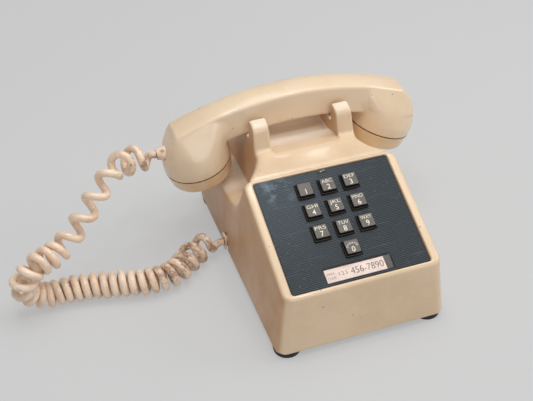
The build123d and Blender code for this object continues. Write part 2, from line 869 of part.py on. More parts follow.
with BuildPart() as hook_lever:
    with BuildSketch(Plane.YZ.offset(-plunger_x - bail_end)):
        with Locations((handset_y, bail_z)):
            Circle(bail_r)
    extrude(amount=2 * (plunger_x + bail_end))
    for x in (-bail_arm_x, bail_arm_x - bail_arm_t):
        with BuildSketch(Plane.YZ.offset(x)):
            with Locations((handset_y - hook_reach / 2, bail_z)):
                Rectangle(hook_reach, 2 * bail_r)
            with Locations((hook_y, bail_z)):
                Circle(hook_hub_r)
                Circle(hook_pin_r + fit_play, mode=Mode.SUBTRACT)
        extrude(amount=bail_arm_t)

tab_x = bail_arm_x + bail_side_gap
with BuildPart() as hookswitch_bracket:
    with BuildSketch(Plane.XY.offset(pan_top)):
        with Locations((0, bracket_y + bracket_foot / 2)):
            Rectangle(bracket_width, bracket_foot)
    extrude(amount=ringer_sheet)
    with BuildSketch(Plane.XZ.offset(-bracket_y)):
        with Locations((0, (pan_top + bail_z - bracket_drop) / 2)):
            Rectangle(bracket_width, bail_z - bracket_drop - pan_top)
    extrude(amount=-ringer_sheet)
    for x in (-tab_x - ringer_sheet, tab_x):
        with BuildSketch(Plane.YZ.offset(x)):
            with Locations(((bracket_y + hook_y + pivot_over) / 2, bail_z - bracket_drop)):
                Rectangle(hook_y + pivot_over - bracket_y, bracket_tab)
            with Locations((hook_y, bail_z)):
                Circle(hook_pin_r + fit_play, mode=Mode.SUBTRACT)
        extrude(amount=ringer_sheet)

with BuildPart() as hook_pin:
    with BuildSketch(Plane.YZ.offset(-tab_x - ringer_sheet - 2)):
        with Locations((hook_y, bail_z)):
            Circle(hook_pin_r)
    extrude(amount=2 * (tab_x + ringer_sheet + 2))

with BuildPart() as contact_springs:
    with BuildSketch(Plane.XZ.offset(-bracket_y)):
        with Locations((0, spring_block_z)):
            Rectangle(spring_block_width, spring_block_height)
    extrude(amount=spring_block_depth)
    for i in range(4):
        with BuildSketch(Plane.XZ.offset(-bracket_y + 2 + 2 * i)):
            with Locations((0, spring_block_z + spring_block_depth)):
                Rectangle(spring_width, spring_length)
        extrude(amount=spring_t)

# ---------------------------------------------------------------- volume wheel
with BuildPart() as volume_wheel:
    with BuildSketch(Plane.XZ.offset(-wheel_y - wheel_t / 2)):
        with Locations((wheel_x, wheel_z)):
            Circle(wheel_r)
            Circle(hook_pin_r + fit_play, mode=Mode.SUBTRACT)
    extrude(amount=wheel_t)
    with BuildSketch(Plane.XZ.offset(-wheel_y - wheel_t / 2)):
        with Locations((wheel_x, wheel_z)):
            with PolarLocations(wheel_r, wheel_notches):
                Circle(wheel_notch_r)
    extrude(amount=wheel_t, mode=Mode.SUBTRACT)

with BuildPart() as wheel_bracket:
    for y in (wheel_y - wheel_t / 2 - wheel_side_gap - ringer_sheet, wheel_y + wheel_t / 2 + wheel_side_gap):
        with BuildSketch(Plane.XZ.offset(-y)):
            with Locations((wheel_x, (pan_top + wheel_z + wheel_bracket_over) / 2)):
                Rectangle(wheel_bracket_width, wheel_z + wheel_bracket_over - pan_top)
        extrude(amount=-ringer_sheet)
        with BuildSketch(Plane.XY.offset(pan_top)):
            with Locations((wheel_x, y + (ringer_sheet + 6 if y > wheel_y else -6) / 2)):
                Rectangle(wheel_foot_width, wheel_foot_length)
        extrude(amount=ringer_sheet)
    with BuildSketch(Plane.XZ.offset(-wheel_y - wheel_t / 2 - 1)):
        with Locations((wheel_x, wheel_z)):
            Circle(hook_pin_r)
    extrude(amount=wheel_t + 2)

# ---------------------------------------------------------------- handset
def seam_plane(side):
    """Where a cup meets its cap: origin on the cup's axis, z along it, x towards +X."""
    tilt = radians(mouth_tilt if side < 0 else ear_tilt)
    return Plane(
        origin=(side * cup_x, handset_y, seam_z),
        x_dir=(cos(tilt), 0, -side * sin(tilt)),
        z_dir=(side * sin(tilt), 0, cos(tilt)),
    )


def superellipse(centre, half_x, half_y, power, count=28):
    """Points round a superellipse: an ellipse at power 2, nearer a rectangle above it."""
    points = []
    for i in range(count):
        c, s = cos(radians(360 * i / count)), sin(radians(360 * i / count))
        x = abs(c) ** (2 / power) * (1 if c > 0 else -1)
        y = abs(s) ** (2 / power) * (1 if s > 0 else -1)
        points.append((centre + half_x * x, half_y * y))
    return points


def bell(side, sections):
    """One cup's outside, lofted through superellipses on planes along its axis."""
    with BuildPart() as form:
        for height, inward, half_x, half_y, power in sections:
            with BuildSketch(seam_plane(side).offset(height)):
                with BuildLine():
                    Spline(
                        *superellipse(-side * inward, half_x, half_y, power), periodic=True
                    )
                make_face()
        loft()
    return form.part


# height on the cup's axis, shift towards the handle, half length, half width, squareness
mouth_sections = [
    (0.0, 0.0, cup_r, cup_r, 2.0),
    (10.0, 0.6, cup_r - 0.2, cup_r - 0.9, 2.05),
    (20.0, 2.2, cup_r - 1.4, cup_r - 4.5, 2.35),
    (30.0, 5.2, cup_r - 4.2, cup_r - 9.6, 3.2),
    (39.0, 10.0, 20.6, ridge_half, 5.0),
]
ear_sections = [
    (0.0, 0.0, cup_r, cup_r, 2.0),
    (10.0, 0.6, cup_r + 0.4, cup_r - 0.9, 2.05),
    (19.0, 2.6, cup_r - 0.6, cup_r - 4.5, 2.25),
    (28.0, 6.4, cup_r - 3.4, cup_r - 10.0, 2.9),
    (37.0, 14.0, 21.2, ridge_half, 4.5),
]
handle_axis = Axis((0, 0, handle_top_z - handle_r), (0, -1, 0))


def handle_half(end_x):
    """The handle from its middle to the end of its top ridges, on the +X side."""
    with BuildPart() as half:
        with BuildSketch(Plane.YZ) as bar:
            with BuildLine():
                Polyline(
                    (handset_y + ridge_half, handle_top_z),
                    (handset_y + belly_half, handle_top_z - handle_t),
                    (handset_y - belly_half, handle_top_z - handle_t),
                    (handset_y - ridge_half, handle_top_z),
                )
                ThreePointArc(
                    (handset_y - ridge_half, handle_top_z),
                    (handset_y, handle_top_z + crown),
                    (handset_y + ridge_half, handle_top_z),
                )
            make_face()
            across = bar.vertices().group_by(Axis.Y)
            fillet(across[0] + across[-1], belly_round)
            fillet(across[1] + across[-2], ridge_round)
        revolve(axis=handle_axis, revolution_arc=degrees(asin(end_x / handle_r)))
    return half.part


with BuildPart() as handset_shell:
    add(handle_half(ear_ridge_x))
    add(handle_half(mouth_ridge_x).mirror(Plane.YZ))
    add(bell(-1, mouth_sections))
    add(bell(1, ear_sections))
    for side in (-1, 1):
        with BuildSketch(seam_plane(side)):
            Circle(cup_cavity_r)
        extrude(amount=cup_cavity_h, mode=Mode.SUBTRACT)
        with BuildSketch(seam_plane(side).offset(cup_cavity_h)):
            with Locations((-side * channel_in, 0)):
                Circle(channel_r)
        extrude(amount=channel_length, mode=Mode.SUBTRACT)
    with BuildSketch(Plane.YZ.offset(gland_base_x)):
        with Locations((handset_y, gland_z)):
            Circle(gland_base_r + fit_play)
    extrude(amount=-gland_bore, mode=Mode.SUBTRACT)

caps = {}
necks = {"transmitter_cap": -1, "receiver_cap": 1}
for name, side in necks.items():
    seam = seam_plane(side)
    down = Plane(origin=seam.origin, x_dir=seam.x_dir, z_dir=-seam.z_dir)
    with BuildPart() as cap:
        with BuildSketch(down.offset(seam_gap)):
            Circle(cup_r - cap_step)
        extrude(amount=cap_t - seam_gap, taper=cap_draft)
        fillet(cap.faces().sort_by(Axis(down.origin, down.z_dir))[-1].edges(), cap_edge_r)
        with BuildSketch(down.offset(-neck_h)):
            Circle(neck_r)
        extrude(amount=neck_h + neck_sink)
        with BuildSketch(down.offset(-neck_h)):
            Circle(neck_r - neck_t)
        extrude(amount=neck_h + cap_t - cap_wall, mode=Mode.SUBTRACT)
        with BuildSketch(down.offset(cap_t)):
            Circle(sound_hole_r)
            with PolarLocations(inner_ring_r, inner_ring_holes):
                Circle(sound_hole_r)
            if side < 0:
                with PolarLocations(outer_ring_r, outer_ring_holes):
                    Circle(sound_hole_r)
        extrude(amount=-cap_wall - 1, mode=Mode.SUBTRACT)
    caps[name] = cap

units = {}
for name, side in (("transmitter_unit", -1), ("receiver_unit", 1)):
    with BuildPart() as unit:
        with BuildSketch(seam_plane(side).offset(-cap_t + cap_wall + unit_gap)):
            Circle(unit_r)
        extrude(amount=unit_t)
        with BuildSketch(seam_plane(side).offset(-cap_t + cap_wall + unit_gap + unit_t)):
            Circle(unit_r / 2)
        extrude(amount=2)
    units[name] = unit

with BuildPart() as transmitter_cup:
    with BuildSketch(seam_plane(-1).offset(neck_h + cup_ring_gap)):
        Circle(cup_cavity_r - fit_play)
        Circle(cup_ring_hole_r, mode=Mode.SUBTRACT)
    extrude(amount=cup_ring_t)

with BuildPart() as handset_gland:
    with BuildSketch(Plane.YZ.offset(gland_base_x)):
        with Locations((handset_y, gland_z)):
            Circle(gland_base_r)
    with BuildSketch(Plane.YZ.offset(gland_base_x - 4)):
        with Locations((handset_y, gland_z)):
            Circle(gland_base_r)
    with BuildSketch(Plane.YZ.offset(gland_tip_x)):
        with Locations((handset_y, gland_z)):
            Circle(gland_tip_r)
    loft(ruled=True)

# ---------------------------------------------------------------- handset cord
coil_route = [
    (cord_face_x - lead, cord_hole_y, cord_hole_z),
    (-93, cord_hole_y, cord_hole_z),
    (-104, 18, 13),
    (-115, 7, 12.3),
    (-128, 0.5, 11.8),
    (-148, 0, 11.8),
    (-170, 6, 11.8),
    (-192, 11, 11.8),
    (-213, 13, 11.8),
    (-231, 12.5, 12),
    (-244, 10, 23),
    (-245, 4.5, 39),
    (-234, 6, 51),
    (-216, 15, 50.5),
    (-202, 25, 54.5),
    (-189, 31, 66),
    (-177, 36, 80),
    (-165, 42, 91),
    (-152, 52, 98),
    (-138, handset_y, gland_z),
    (gland_tip_x - lead, handset_y, gland_z),
]


def bend_radii(route):
    """Arc radius at each inner point: 0.45 of the shorter run over the tangent of half the turn."""
    radii = []
    for before, here, after in zip(route, route[1:], route[2:]):
        run_in, run_out = Vector(*here) - Vector(*before), Vector(*after) - Vector(*here)
        half_turn = radians(run_in.get_angle(run_out)) / 2
        radii.append(0.45 * min(run_in.length, run_out.length) / tan(half_turn))
    return radii


with BuildPart() as handset_cord:
    with BuildLine() as coil_line:
        FilletPolyline(*coil_route, radius=bend_radii(coil_route))
    with BuildSketch(Plane(origin=coil_line.line @ 0, z_dir=coil_line.line % 0)):
        Circle(coil_d / 2)
    sweep()

with BuildPart() as cord_lead_base:
    with BuildSketch(Plane.YZ.offset(cord_face_x)):
        with Locations((cord_hole_y, cord_hole_z)):
            Circle(wire_d / 2)
    extrude(amount=-lead)

with BuildPart() as cord_lead_handset:
    with BuildSketch(Plane.YZ.offset(gland_tip_x)):
        with Locations((handset_y, gland_z)):
            Circle(wire_d / 2)
    extrude(amount=-lead)

coil_length = coil_line.wires()[0].length
coil_volume = coil_length * pi * (coil_d / 2) ** 2
print("coil radii", [round(r, 1) for r in bend_radii(coil_route)])
coil_fill = handset_cord.part.volume / coil_volume
print("coil length", round(coil_length, 1), "of its section", round(coil_fill, 3))

os.makedirs("parts", exist_ok=True)
pieces = {
    "housing": housing,
    "base_plate": base_plate,
    **feet,
    "housing_screws": housing_screws,
    "cord_bushing": cord_bushing,
    "line_grommet": line_grommet,
    "faceplate": faceplate,
    "number_card": number_card,
    "card_window": card_window,
    "key_guide": key_guide,
    **keys,
    "dial_bracket": dial_bracket,
    "dial_screws": dial_screws,
    "dial_board": dial_board,
    "tone_coils": tone_coils,
    "ringer_frame": ringer_frame,
    "ringer_coil": ringer_coil,
    **gongs,
    "gong_screws": gong_screws,
    "clapper": clapper,
    "network_block": network_block,
    "network_terminals": network_terminals,
    **plungers,
    "hook_lever": hook_lever,
    "hookswitch_bracket": hookswitch_bracket,
    "hook_pin": hook_pin,
    "contact_springs": contact_springs,
    "volume_wheel": volume_wheel,
    "wheel_bracket": wheel_bracket,
    "handset_shell": handset_shell,
    **caps,
    **units,
    "transmitter_cup": transmitter_cup,
    "handset_gland": handset_gland,
    "handset_cord": handset_cord,
    "cord_lead_base": cord_lead_base,
    "cord_lead_handset": cord_lead_handset,
}
for name, piece in pieces.items():
    piece.part.label = name
    export_step(piece.part, f"parts/{name}.step")
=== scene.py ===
from math import cos, pi, radians, sin

import bmesh
import bpy
import numpy as np
from mathutils import Matrix, Vector


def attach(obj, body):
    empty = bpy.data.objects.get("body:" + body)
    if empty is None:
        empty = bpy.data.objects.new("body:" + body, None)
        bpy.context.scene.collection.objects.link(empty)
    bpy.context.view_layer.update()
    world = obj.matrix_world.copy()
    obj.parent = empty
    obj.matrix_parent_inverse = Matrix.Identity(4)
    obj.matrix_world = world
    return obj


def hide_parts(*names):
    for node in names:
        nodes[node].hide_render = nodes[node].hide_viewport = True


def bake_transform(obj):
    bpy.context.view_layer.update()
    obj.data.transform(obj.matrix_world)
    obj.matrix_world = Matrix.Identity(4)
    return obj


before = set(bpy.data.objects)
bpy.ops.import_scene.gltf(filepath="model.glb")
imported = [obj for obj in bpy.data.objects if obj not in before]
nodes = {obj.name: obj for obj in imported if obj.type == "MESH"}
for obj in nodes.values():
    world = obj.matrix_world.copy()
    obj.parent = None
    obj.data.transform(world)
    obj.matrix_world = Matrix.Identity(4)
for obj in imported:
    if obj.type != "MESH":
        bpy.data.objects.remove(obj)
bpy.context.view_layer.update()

MM = 0.001
scene = bpy.context.scene


def linked(name, data):
    """A new object in the scene."""
    made = bpy.data.objects.new(name, data)
    scene.collection.objects.link(made)
    return made


# ---------------------------------------------------------------- camera
CAMERA_SPOT = (-0.23838, -0.57826, 0.57957)
YAW, PITCH, ROLL = radians(18.71), radians(-39.88), radians(-0.77)
camera = linked("camera", bpy.data.cameras.new("camera"))
camera.data.lens = 66.0
camera.data.sensor_width = 36.0
ahead = Vector((sin(YAW) * cos(PITCH), cos(YAW) * cos(PITCH), sin(PITCH)))
level = Vector((cos(YAW), -sin(YAW), 0))
above = level.cross(ahead)
camera_right = level * cos(ROLL) + above * sin(ROLL)
camera_up = above * cos(ROLL) - level * sin(ROLL)
turn = Matrix((camera_right, camera_up, -ahead)).transposed().to_4x4()
camera.matrix_world = Matrix.Translation(CAMERA_SPOT) @ turn
scene.camera = camera

# ---------------------------------------------------------------- the keypad's plane
DECK_SLOPE = radians(22.5)
DECK_ORIGIN = Vector((0, -0.100, 0.0593))
DECK_UP = Vector((0, -sin(DECK_SLOPE), cos(DECK_SLOPE)))
DECK_BACK = Vector((0, cos(DECK_SLOPE), sin(DECK_SLOPE)))
DECK_TURN = Matrix((Vector((1, 0, 0)), DECK_BACK, DECK_UP)).transposed().to_4x4()
DECK_LEVEL = DECK_ORIGIN.dot(DECK_UP)


def on_deck(x, v, height):
    """The matrix that stands a flat piece on the sloping plate: across, up the slope, height."""
    spot = DECK_ORIGIN + Vector((x, 0, 0)) + DECK_BACK * v + DECK_UP * height
    return Matrix.Translation(spot) @ DECK_TURN


# ---------------------------------------------------------------- pieces
def add_piece(name, mesh, body, material):
    """Links a finished mesh as a piece that rides on a body."""
    mesh.materials.clear()
    mesh.materials.append(material)
    piece = linked(name, mesh)
    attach(piece, body)
    return piece


def plain_mesh(thing):
    """The evaluated mesh of a curve, a text or an object with modifiers, the helper removed."""
    bpy.context.view_layer.update()
    depsgraph = bpy.context.evaluated_depsgraph_get()
    mesh = bpy.data.meshes.new_from_object(thing.evaluated_get(depsgraph))
    bpy.data.objects.remove(thing)
    return mesh


# ---------------------------------------------------------------- shader helpers
def linear(red, green, blue):
    """A colour given as it is seen, 0 to 255, as the shader wants it."""
    part = [c / 255 for c in (red, green, blue)]
    return [c / 12.92 if c <= 0.04045 else ((c + 0.055) / 1.055) ** 2.4 for c in part] + [1.0]


class Tree:
    """Short ways to place and join shader nodes."""

    def __init__(self, tree):
        self.tree = tree

    def set(self, socket, value):
        if isinstance(value, bpy.types.NodeSocket):
            self.tree.links.new(value, socket)
        elif isinstance(value, bpy.types.Node):
            self.tree.links.new(value.outputs[0], socket)
        else:
            socket.default_value = value

    def feed(self, node, inputs):
        for key, value in inputs.items():
            self.set(node.inputs[key], value)

    def node(self, kind, inputs=None, **settings):
        made = self.tree.nodes.new(kind)
        for key, value in settings.items():
            setattr(made, key, value)
        self.feed(made, inputs or {})
        return made

    def maths(self, operation, a, b=0.0, c=0.0):
        return self.node("ShaderNodeMath", {0: a, 1: b, 2: c}, operation=operation).outputs[0]

    def times(self, product, *factors):
        for factor in factors:
            product = self.maths("MULTIPLY", product, factor)
        return product

    def most(self, highest, *others):
        for other in others:
            highest = self.maths("MAXIMUM", highest, other)
        return highest

    def without(self, value, share):
        """A value where the share is 0, and nothing where it is 1."""
        return self.times(value, self.maths("SUBTRACT", 1.0, share))

    def vector(self, operation, a, b, output="Value"):
        return self.node("ShaderNodeVectorMath", {0: a, 1: b}, operation=operation).outputs[output]

    def axis(self, vector, name):
        return self.node("ShaderNodeSeparateXYZ", {0: vector}).outputs[name]

    def normal(self):
        return self.node("ShaderNodeNewGeometry").outputs["Normal"]

    def span(self, value, low, high, to_low=0.0, to_high=1.0):
        """A smooth step between two values."""
        limits = {"Value": value, "From Min": low, "From Max": high, "To Min": to_low, "To Max": to_high}
        return self.node("ShaderNodeMapRange", limits, interpolation_type="SMOOTHSTEP").outputs[0]

    def mix(self, share, a, b):
        made = self.node("ShaderNodeMix", data_type="RGBA", blend_type="MIX")
        for index, value in ((0, share), (6, a), (7, b)):
            self.set(made.inputs[index], value)
        return made.outputs[2]

    def noise(self, where, scale, detail=3.0, rough=0.5):
        settings = {"Vector": where, "Scale": scale, "Detail": detail, "Roughness": rough}
        return self.node("ShaderNodeTexNoise", settings).outputs[0]

    def grain(self, where):
        return self.noise(where, 900.0, 3.0, 0.6)

    def stretch(self, where, scale, turned=(0, 0, 0)):
        settings = {"Vector": where, "Scale": scale, "Rotation": turned}
        return self.node("ShaderNodeMapping", settings).outputs[0]

    def bump(self, strength, height, **more):
        settings = {"Strength": strength, "Distance": GRAIN_DEPTH, "Height": height, **more}
        return self.node("ShaderNodeBump", settings)


def effect(name, inputs, outputs):
    """An empty shader group with named sockets, its input and output nodes."""
    group = bpy.data.node_groups.new(name, "ShaderNodeTree")
    for label, kind, value in inputs:
        socket = group.interface.new_socket(label, in_out="INPUT", socket_type=kind)
        if value is not None:
            socket.default_value = value
    for label, kind in outputs:
        group.interface.new_socket(label, in_out="OUTPUT", socket_type=kind)
    tree = Tree(group)
    return group, tree, tree.node("NodeGroupInput"), tree.node("NodeGroupOutput")


FLOAT, COLOR, VECTOR = "NodeSocketFloat", "NodeSocketColor", "NodeSocketVector"
GRAIN_DEPTH = 0.0002

# the browns of specks, painted shade and dirt in creases, rubbed edges, seams, painted shade on the left
# side, the cord's grime and crease shade, and pale dust that also paints light into the trough
SPECK_BROWN, SHADE_AND_DIRT_BROWN, RUBBED_BROWN = linear(120, 84, 56), linear(122, 90, 62), linear(146, 108, 74)
SEAM_BROWN, SIDE_SHADE_BROWN, GRIME_AND_SHADE_BROWN = linear(130, 96, 66), linear(198, 148, 104), linear(132, 88, 54)
PALE_DUST_AND_LIGHT = linear(246, 232, 214)
PLATE_DARK, PLATE_LIGHT, RIB_SHEEN_GREY = linear(9, 14, 18), linear(18, 26, 32), linear(72, 84, 91)
SCRATCH_GREY, PAINTED_SHEEN_GREY = linear(170, 184, 192), linear(164, 186, 206)
KEY_BLACK, LIT_LEDGE_GREY, KEY_RUBBED = linear(22, 18, 15), linear(148, 134, 118), linear(128, 116, 104)

# aged colour: slow drifts of tone, fine specks and small scuffs
aged, t, given, made = effect(
    "aged_surface",
    [("Position", VECTOR, None), ("Colour", COLOR, None), ("Stain", COLOR, None), ("Staining", FLOAT, 0.4),
     ("Specks", FLOAT, 0.5), ("Scale", FLOAT, 30.0)],
    [("Colour", COLOR), ("Marks", FLOAT), ("Grain", FLOAT)],
)
where = given.outputs["Position"]
drift = t.span(t.noise(where, given.outputs["Scale"], 4.0, 0.6), 0.38, 0.70)
colour = t.mix(t.times(drift, given.outputs["Staining"]), given.outputs["Colour"], given.outputs["Stain"])
cells = t.node("ShaderNodeTexVoronoi", {"Vector": where, "Scale": 210.0, "Randomness": 1.0})
speck_size = t.span(t.noise(where, 160.0, 1.0), 0.55, 0.72, 0.0, 0.16)
speck = t.times(t.maths("LESS_THAN", cells.outputs["Distance"], speck_size), given.outputs["Specks"])
scuffs = t.span(t.noise(t.stretch(where, (60, 420, 420), (0.4, 0.7, 0.2)), 1.0, 3.0, 0.6), 0.62, 0.75)
t.feed(made, {"Colour": t.mix(speck, colour, SPECK_BROWN), "Marks": t.most(scuffs, t.times(drift, 0.5)),
              "Grain": t.grain(where)})

# painted shade and dirt in creases and corners: an occlusion mask, broken into patches
crease_shade_dirt, t, given, made = effect(
    "crease_shade_and_dirt",
    [("Position", VECTOR, None), ("Reach", FLOAT, 0.006), ("Amount", FLOAT, 0.6)],
    [("Mask", FLOAT)],
)
hidden = t.node("ShaderNodeAmbientOcclusion", {"Distance": given.outputs["Reach"]}, samples=8)
patches = t.span(t.noise(given.outputs["Position"], 120.0, 4.0, 0.65), 0.30, 0.65)
dark = t.span(hidden.outputs["AO"], 0.35, 0.95, 1.0, 0.0)
t.feed(made, {"Mask": t.times(dark, patches, given.outputs["Amount"])})

# rubbed edges, where a rounded normal leaves the flat one; the rounded normal comes out too
edges, t, given, made = effect(
    "rubbed_edges",
    [("Position", VECTOR, None), ("Width", FLOAT, 0.0008), ("Amount", FLOAT, 0.5), ("Sparse", FLOAT, 0.45)],
    [("Mask", FLOAT), ("Normal", VECTOR)],
)
rounded = t.node("ShaderNodeBevel", {"Radius": given.outputs["Width"]}, samples=6).outputs[0]
corner = t.span(t.vector("DOT_PRODUCT", rounded, t.normal()), 0.90, 0.995, 1.0, 0.0)
sparse = given.outputs["Sparse"]
patches = t.span(t.noise(given.outputs["Position"], 110.0, 4.0, 0.7), sparse, t.maths("ADD", sparse, 0.08))
t.feed(made, {"Mask": t.times(corner, patches, given.outputs["Amount"]), "Normal": rounded})


def new_material(name):
    """A new material with its node tree, its shader and its Object coordinates."""
    material = bpy.data.materials.new(name)
    material.use_nodes = True
    tree = Tree(material.node_tree)
    shader = material.node_tree.nodes["Principled BSDF"]
    where = tree.node("ShaderNodeTexCoord").outputs["Object"]
    return material, tree, shader, where


def place(tree, group, **values):
    """An effect's group in a material, with its own values."""
    made = tree.node("ShaderNodeGroup", node_tree=group)
    tree.feed(made, values)
    return made


# the seams between the handset and its caps: a point on each cup's axis, and the axis
SEAMS = [((-0.083, 0.061, 0.078), (-0.22495, 0, 0.97437)), ((0.083, 0.061, 0.078), (0.34202, 0, 0.93969))]
SEAM_REACH = 0.034


def shell_plastic(name, colour, stain, trough_dust_and_light=False, seams=False, painted_side_shade=0.0):
    """Glossy moulded plastic, yellowed, specked and scuffed, with painted shade and dirt in its creases;
    where asked, pale dust with painted light in the trough, and painted shade on faces turned to the left.
    """
    material, tree, shader, where = new_material(name)
    age = place(tree, aged, Position=where, Colour=linear(*colour), Stain=linear(*stain), Staining=0.35,
                Specks=0.6, Scale=22.0)
    # painted shade and dirt darken the creases and corners
    shade_and_dirt = place(tree, crease_shade_dirt, Position=where, Reach=0.007, Amount=0.55).outputs["Mask"]
    rub = place(tree, edges, Position=where, Width=0.0014, Amount=0.9, Sparse=0.57)
    if trough_dust_and_light:
        y = tree.axis(where, "Y")
        inside = tree.times(tree.span(y, 0.026, 0.044), tree.span(y, 0.072, 0.080, 1.0, 0.0))
        shade_and_dirt = tree.times(shade_and_dirt, tree.maths("MULTIPLY_ADD", inside, -0.8, 1.0))
    tone = tree.mix(shade_and_dirt, age.outputs["Colour"], SHADE_AND_DIRT_BROWN)
    tone = tree.mix(rub.outputs["Mask"], tone, RUBBED_BROWN)
    roughness = tree.maths("MULTIPLY_ADD", age.outputs["Marks"], 0.22, 0.16)
    coat = tree.maths("MULTIPLY_ADD", age.outputs["Marks"], -0.1, 0.5)
    for middle, upright in SEAMS if seams else ():
        offset = tree.vector("SUBTRACT", where, middle, "Vector")
        height = tree.maths("ABSOLUTE", tree.vector("DOT_PRODUCT", offset, upright))
        near = tree.maths("LESS_THAN", tree.vector("LENGTH", offset, (0, 0, 0)), SEAM_REACH)
        line = tree.times(tree.span(height, 0.0002, 0.0007, 1.0, 0.0), near, 0.75)
        tone = tree.mix(line, tone, SEAM_BROWN)
    if painted_side_shade:
        # painted shade: faces turned to the left are darker and browner in patches, rougher and without coat
        leftward = tree.span(tree.axis(tree.normal(), "X"), -0.55, -0.88)
        patchy = tree.span(tree.noise(where, 34.0, 4.0, 0.6), 0.2, 0.8, 0.6, 1.0)
        side_shade = tree.times(leftward, patchy, painted_side_shade)
        tone = tree.mix(side_shade, tone, SIDE_SHADE_BROWN)
        roughness = tree.maths("MULTIPLY_ADD", side_shade, 0.35, roughness)
        coat = tree.without(coat, side_shade)
    # pale dust streaks on up-facing faces in the trough, pale enough to paint light into the handset's shadow
    # there
    if trough_dust_and_light:
        upward = tree.span(tree.axis(tree.normal(), "Z"), 0.3, 0.7)
        streaks = tree.noise(tree.stretch(where, (18, 90, 90)), 1.0, 5.0, 0.7)
        dust_and_painted_light = tree.times(upward, tree.span(streaks, 0.30, 0.66, 0.6, 1.0), inside)
        tone = tree.mix(dust_and_painted_light, tone, PALE_DUST_AND_LIGHT)
        roughness = tree.most(roughness, dust_and_painted_light)
        coat = tree.without(coat, dust_and_painted_light)
    tree.feed(shader, {"Base Color": tone, "Roughness": roughness, "IOR": 1.5, "Coat Weight": coat,
                       "Coat Roughness": 0.05, "Normal": tree.bump(0.05, age.outputs["Grain"])})
    return material


def worn_finish(name, colour, stain, rough=0.5, metal=0.0, scale=60.0, specks=0.0, brushed=None):
    """Metal, rubber, board, paper or small mouldings, each with its own tone and grain."""
    material, tree, shader, where = new_material(name)
    age = place(tree, aged, Position=where, Colour=linear(*colour), Stain=linear(*stain), Staining=0.5,
                Specks=specks, Scale=scale)
    height = tree.noise(tree.stretch(where, brushed), 1.0, 4.0, 0.6) if brushed else age.outputs["Grain"]
    roughness = tree.maths("MULTIPLY_ADD", age.outputs["Marks"], 0.2, rough)
    tree.feed(shader, {"Base Color": age.outputs["Colour"], "Roughness": roughness, "Metallic": metal,
                       "Normal": tree.bump(0.15, height)})
    return material


BEIGE, BROWNED = (233, 206, 172), (206, 170, 132)
housing_plastic = shell_plastic("housing_plastic", BEIGE, BROWNED, trough_dust_and_light=True, painted_side_shade=0.9)
handset_plastic = shell_plastic("handset_plastic", (240, 215, 184), (220, 190, 156), seams=True)
cap_plastic = shell_plastic("cap_plastic", (233, 203, 164), (216, 180, 138), seams=True)
plated = worn_finish("plated_steel", (176, 172, 158), (128, 120, 100), 0.32, 1.0, brushed=(900, 40, 40))
screw_steel = worn_finish("screw_steel", (160, 158, 152), (110, 104, 92), 0.35, 1.0)
dull_steel = worn_finish("dull_steel", (160, 148, 128), (110, 100, 84), 0.45, 0.5)
rubber = worn_finish("black_rubber", (26, 25, 24), (44, 40, 36), 0.62)
black = worn_finish("black_moulding", (22, 21, 21), (34, 31, 29), 0.38)
nylon = worn_finish("white_nylon", (226, 220, 206), (204, 192, 170), 0.35)
board = worn_finish("phenolic_board", (150, 112, 62), (120, 84, 44), 0.5)
ferrite = worn_finish("ferrite", (52, 52, 56), (70, 68, 66), 0.55)
winding = worn_finish("coil_tape", (170, 130, 70), (132, 92, 44), 0.5, brushed=(40, 900, 900))
brass = worn_finish("gong_brass", (196, 166, 104), (142, 108, 60), 0.28, 1.0)
enamel = worn_finish("grey_enamel", (128, 130, 128), (104, 104, 100), 0.42)


def cord_material():
    """The cord's plastic, with the worst of its grime near the base, and painted shade in the creases between
    its turns.
    """
    material, tree, shader, where = new_material("cord_plastic")
    age = place(tree, aged, Position=where, Colour=linear(252, 228, 203), Stain=linear(238, 202, 170),
                Staining=0.6, Specks=0.9, Scale=40.0)
    worst = tree.span(tree.axis(where, "X"), -0.160, -0.115, 0.25, 1.0)
    grime_and_shade = tree.times(tree.span(tree.noise(where, 110.0, 6.0, 0.8), 0.47, 0.60), worst)
    # painted shade in the creases between the turns, added to the grime near the base
    crease = place(tree, crease_shade_dirt, Position=where, Reach=0.003, Amount=0.2)
    grime_and_shade = tree.most(grime_and_shade, crease.outputs["Mask"])
    tone = tree.mix(tree.times(grime_and_shade, 0.85), age.outputs["Colour"], GRIME_AND_SHADE_BROWN)
    tree.feed(shader, {"Base Color": tone, "Roughness": tree.maths("MULTIPLY_ADD", grime_and_shade, 0.3, 0.22),
                       "Normal": tree.bump(0.08, age.outputs["Grain"]), "Coat Weight": 0.4,
                       "Coat Roughness": 0.08})
    return material


# scratches in three directions: stretch, turn, and the noise levels between which one appears
SCRATCHES = [
    ((34, 900, 900), 0.9, 0.66, 0.74),
    ((26, 700, 700), -0.5, 0.68, 0.76),
    ((50, 800, 800), 2.1, 0.68, 0.75),
]
WORN_SHEEN_SPOT = (-0.040, -0.0168, 0.0945)


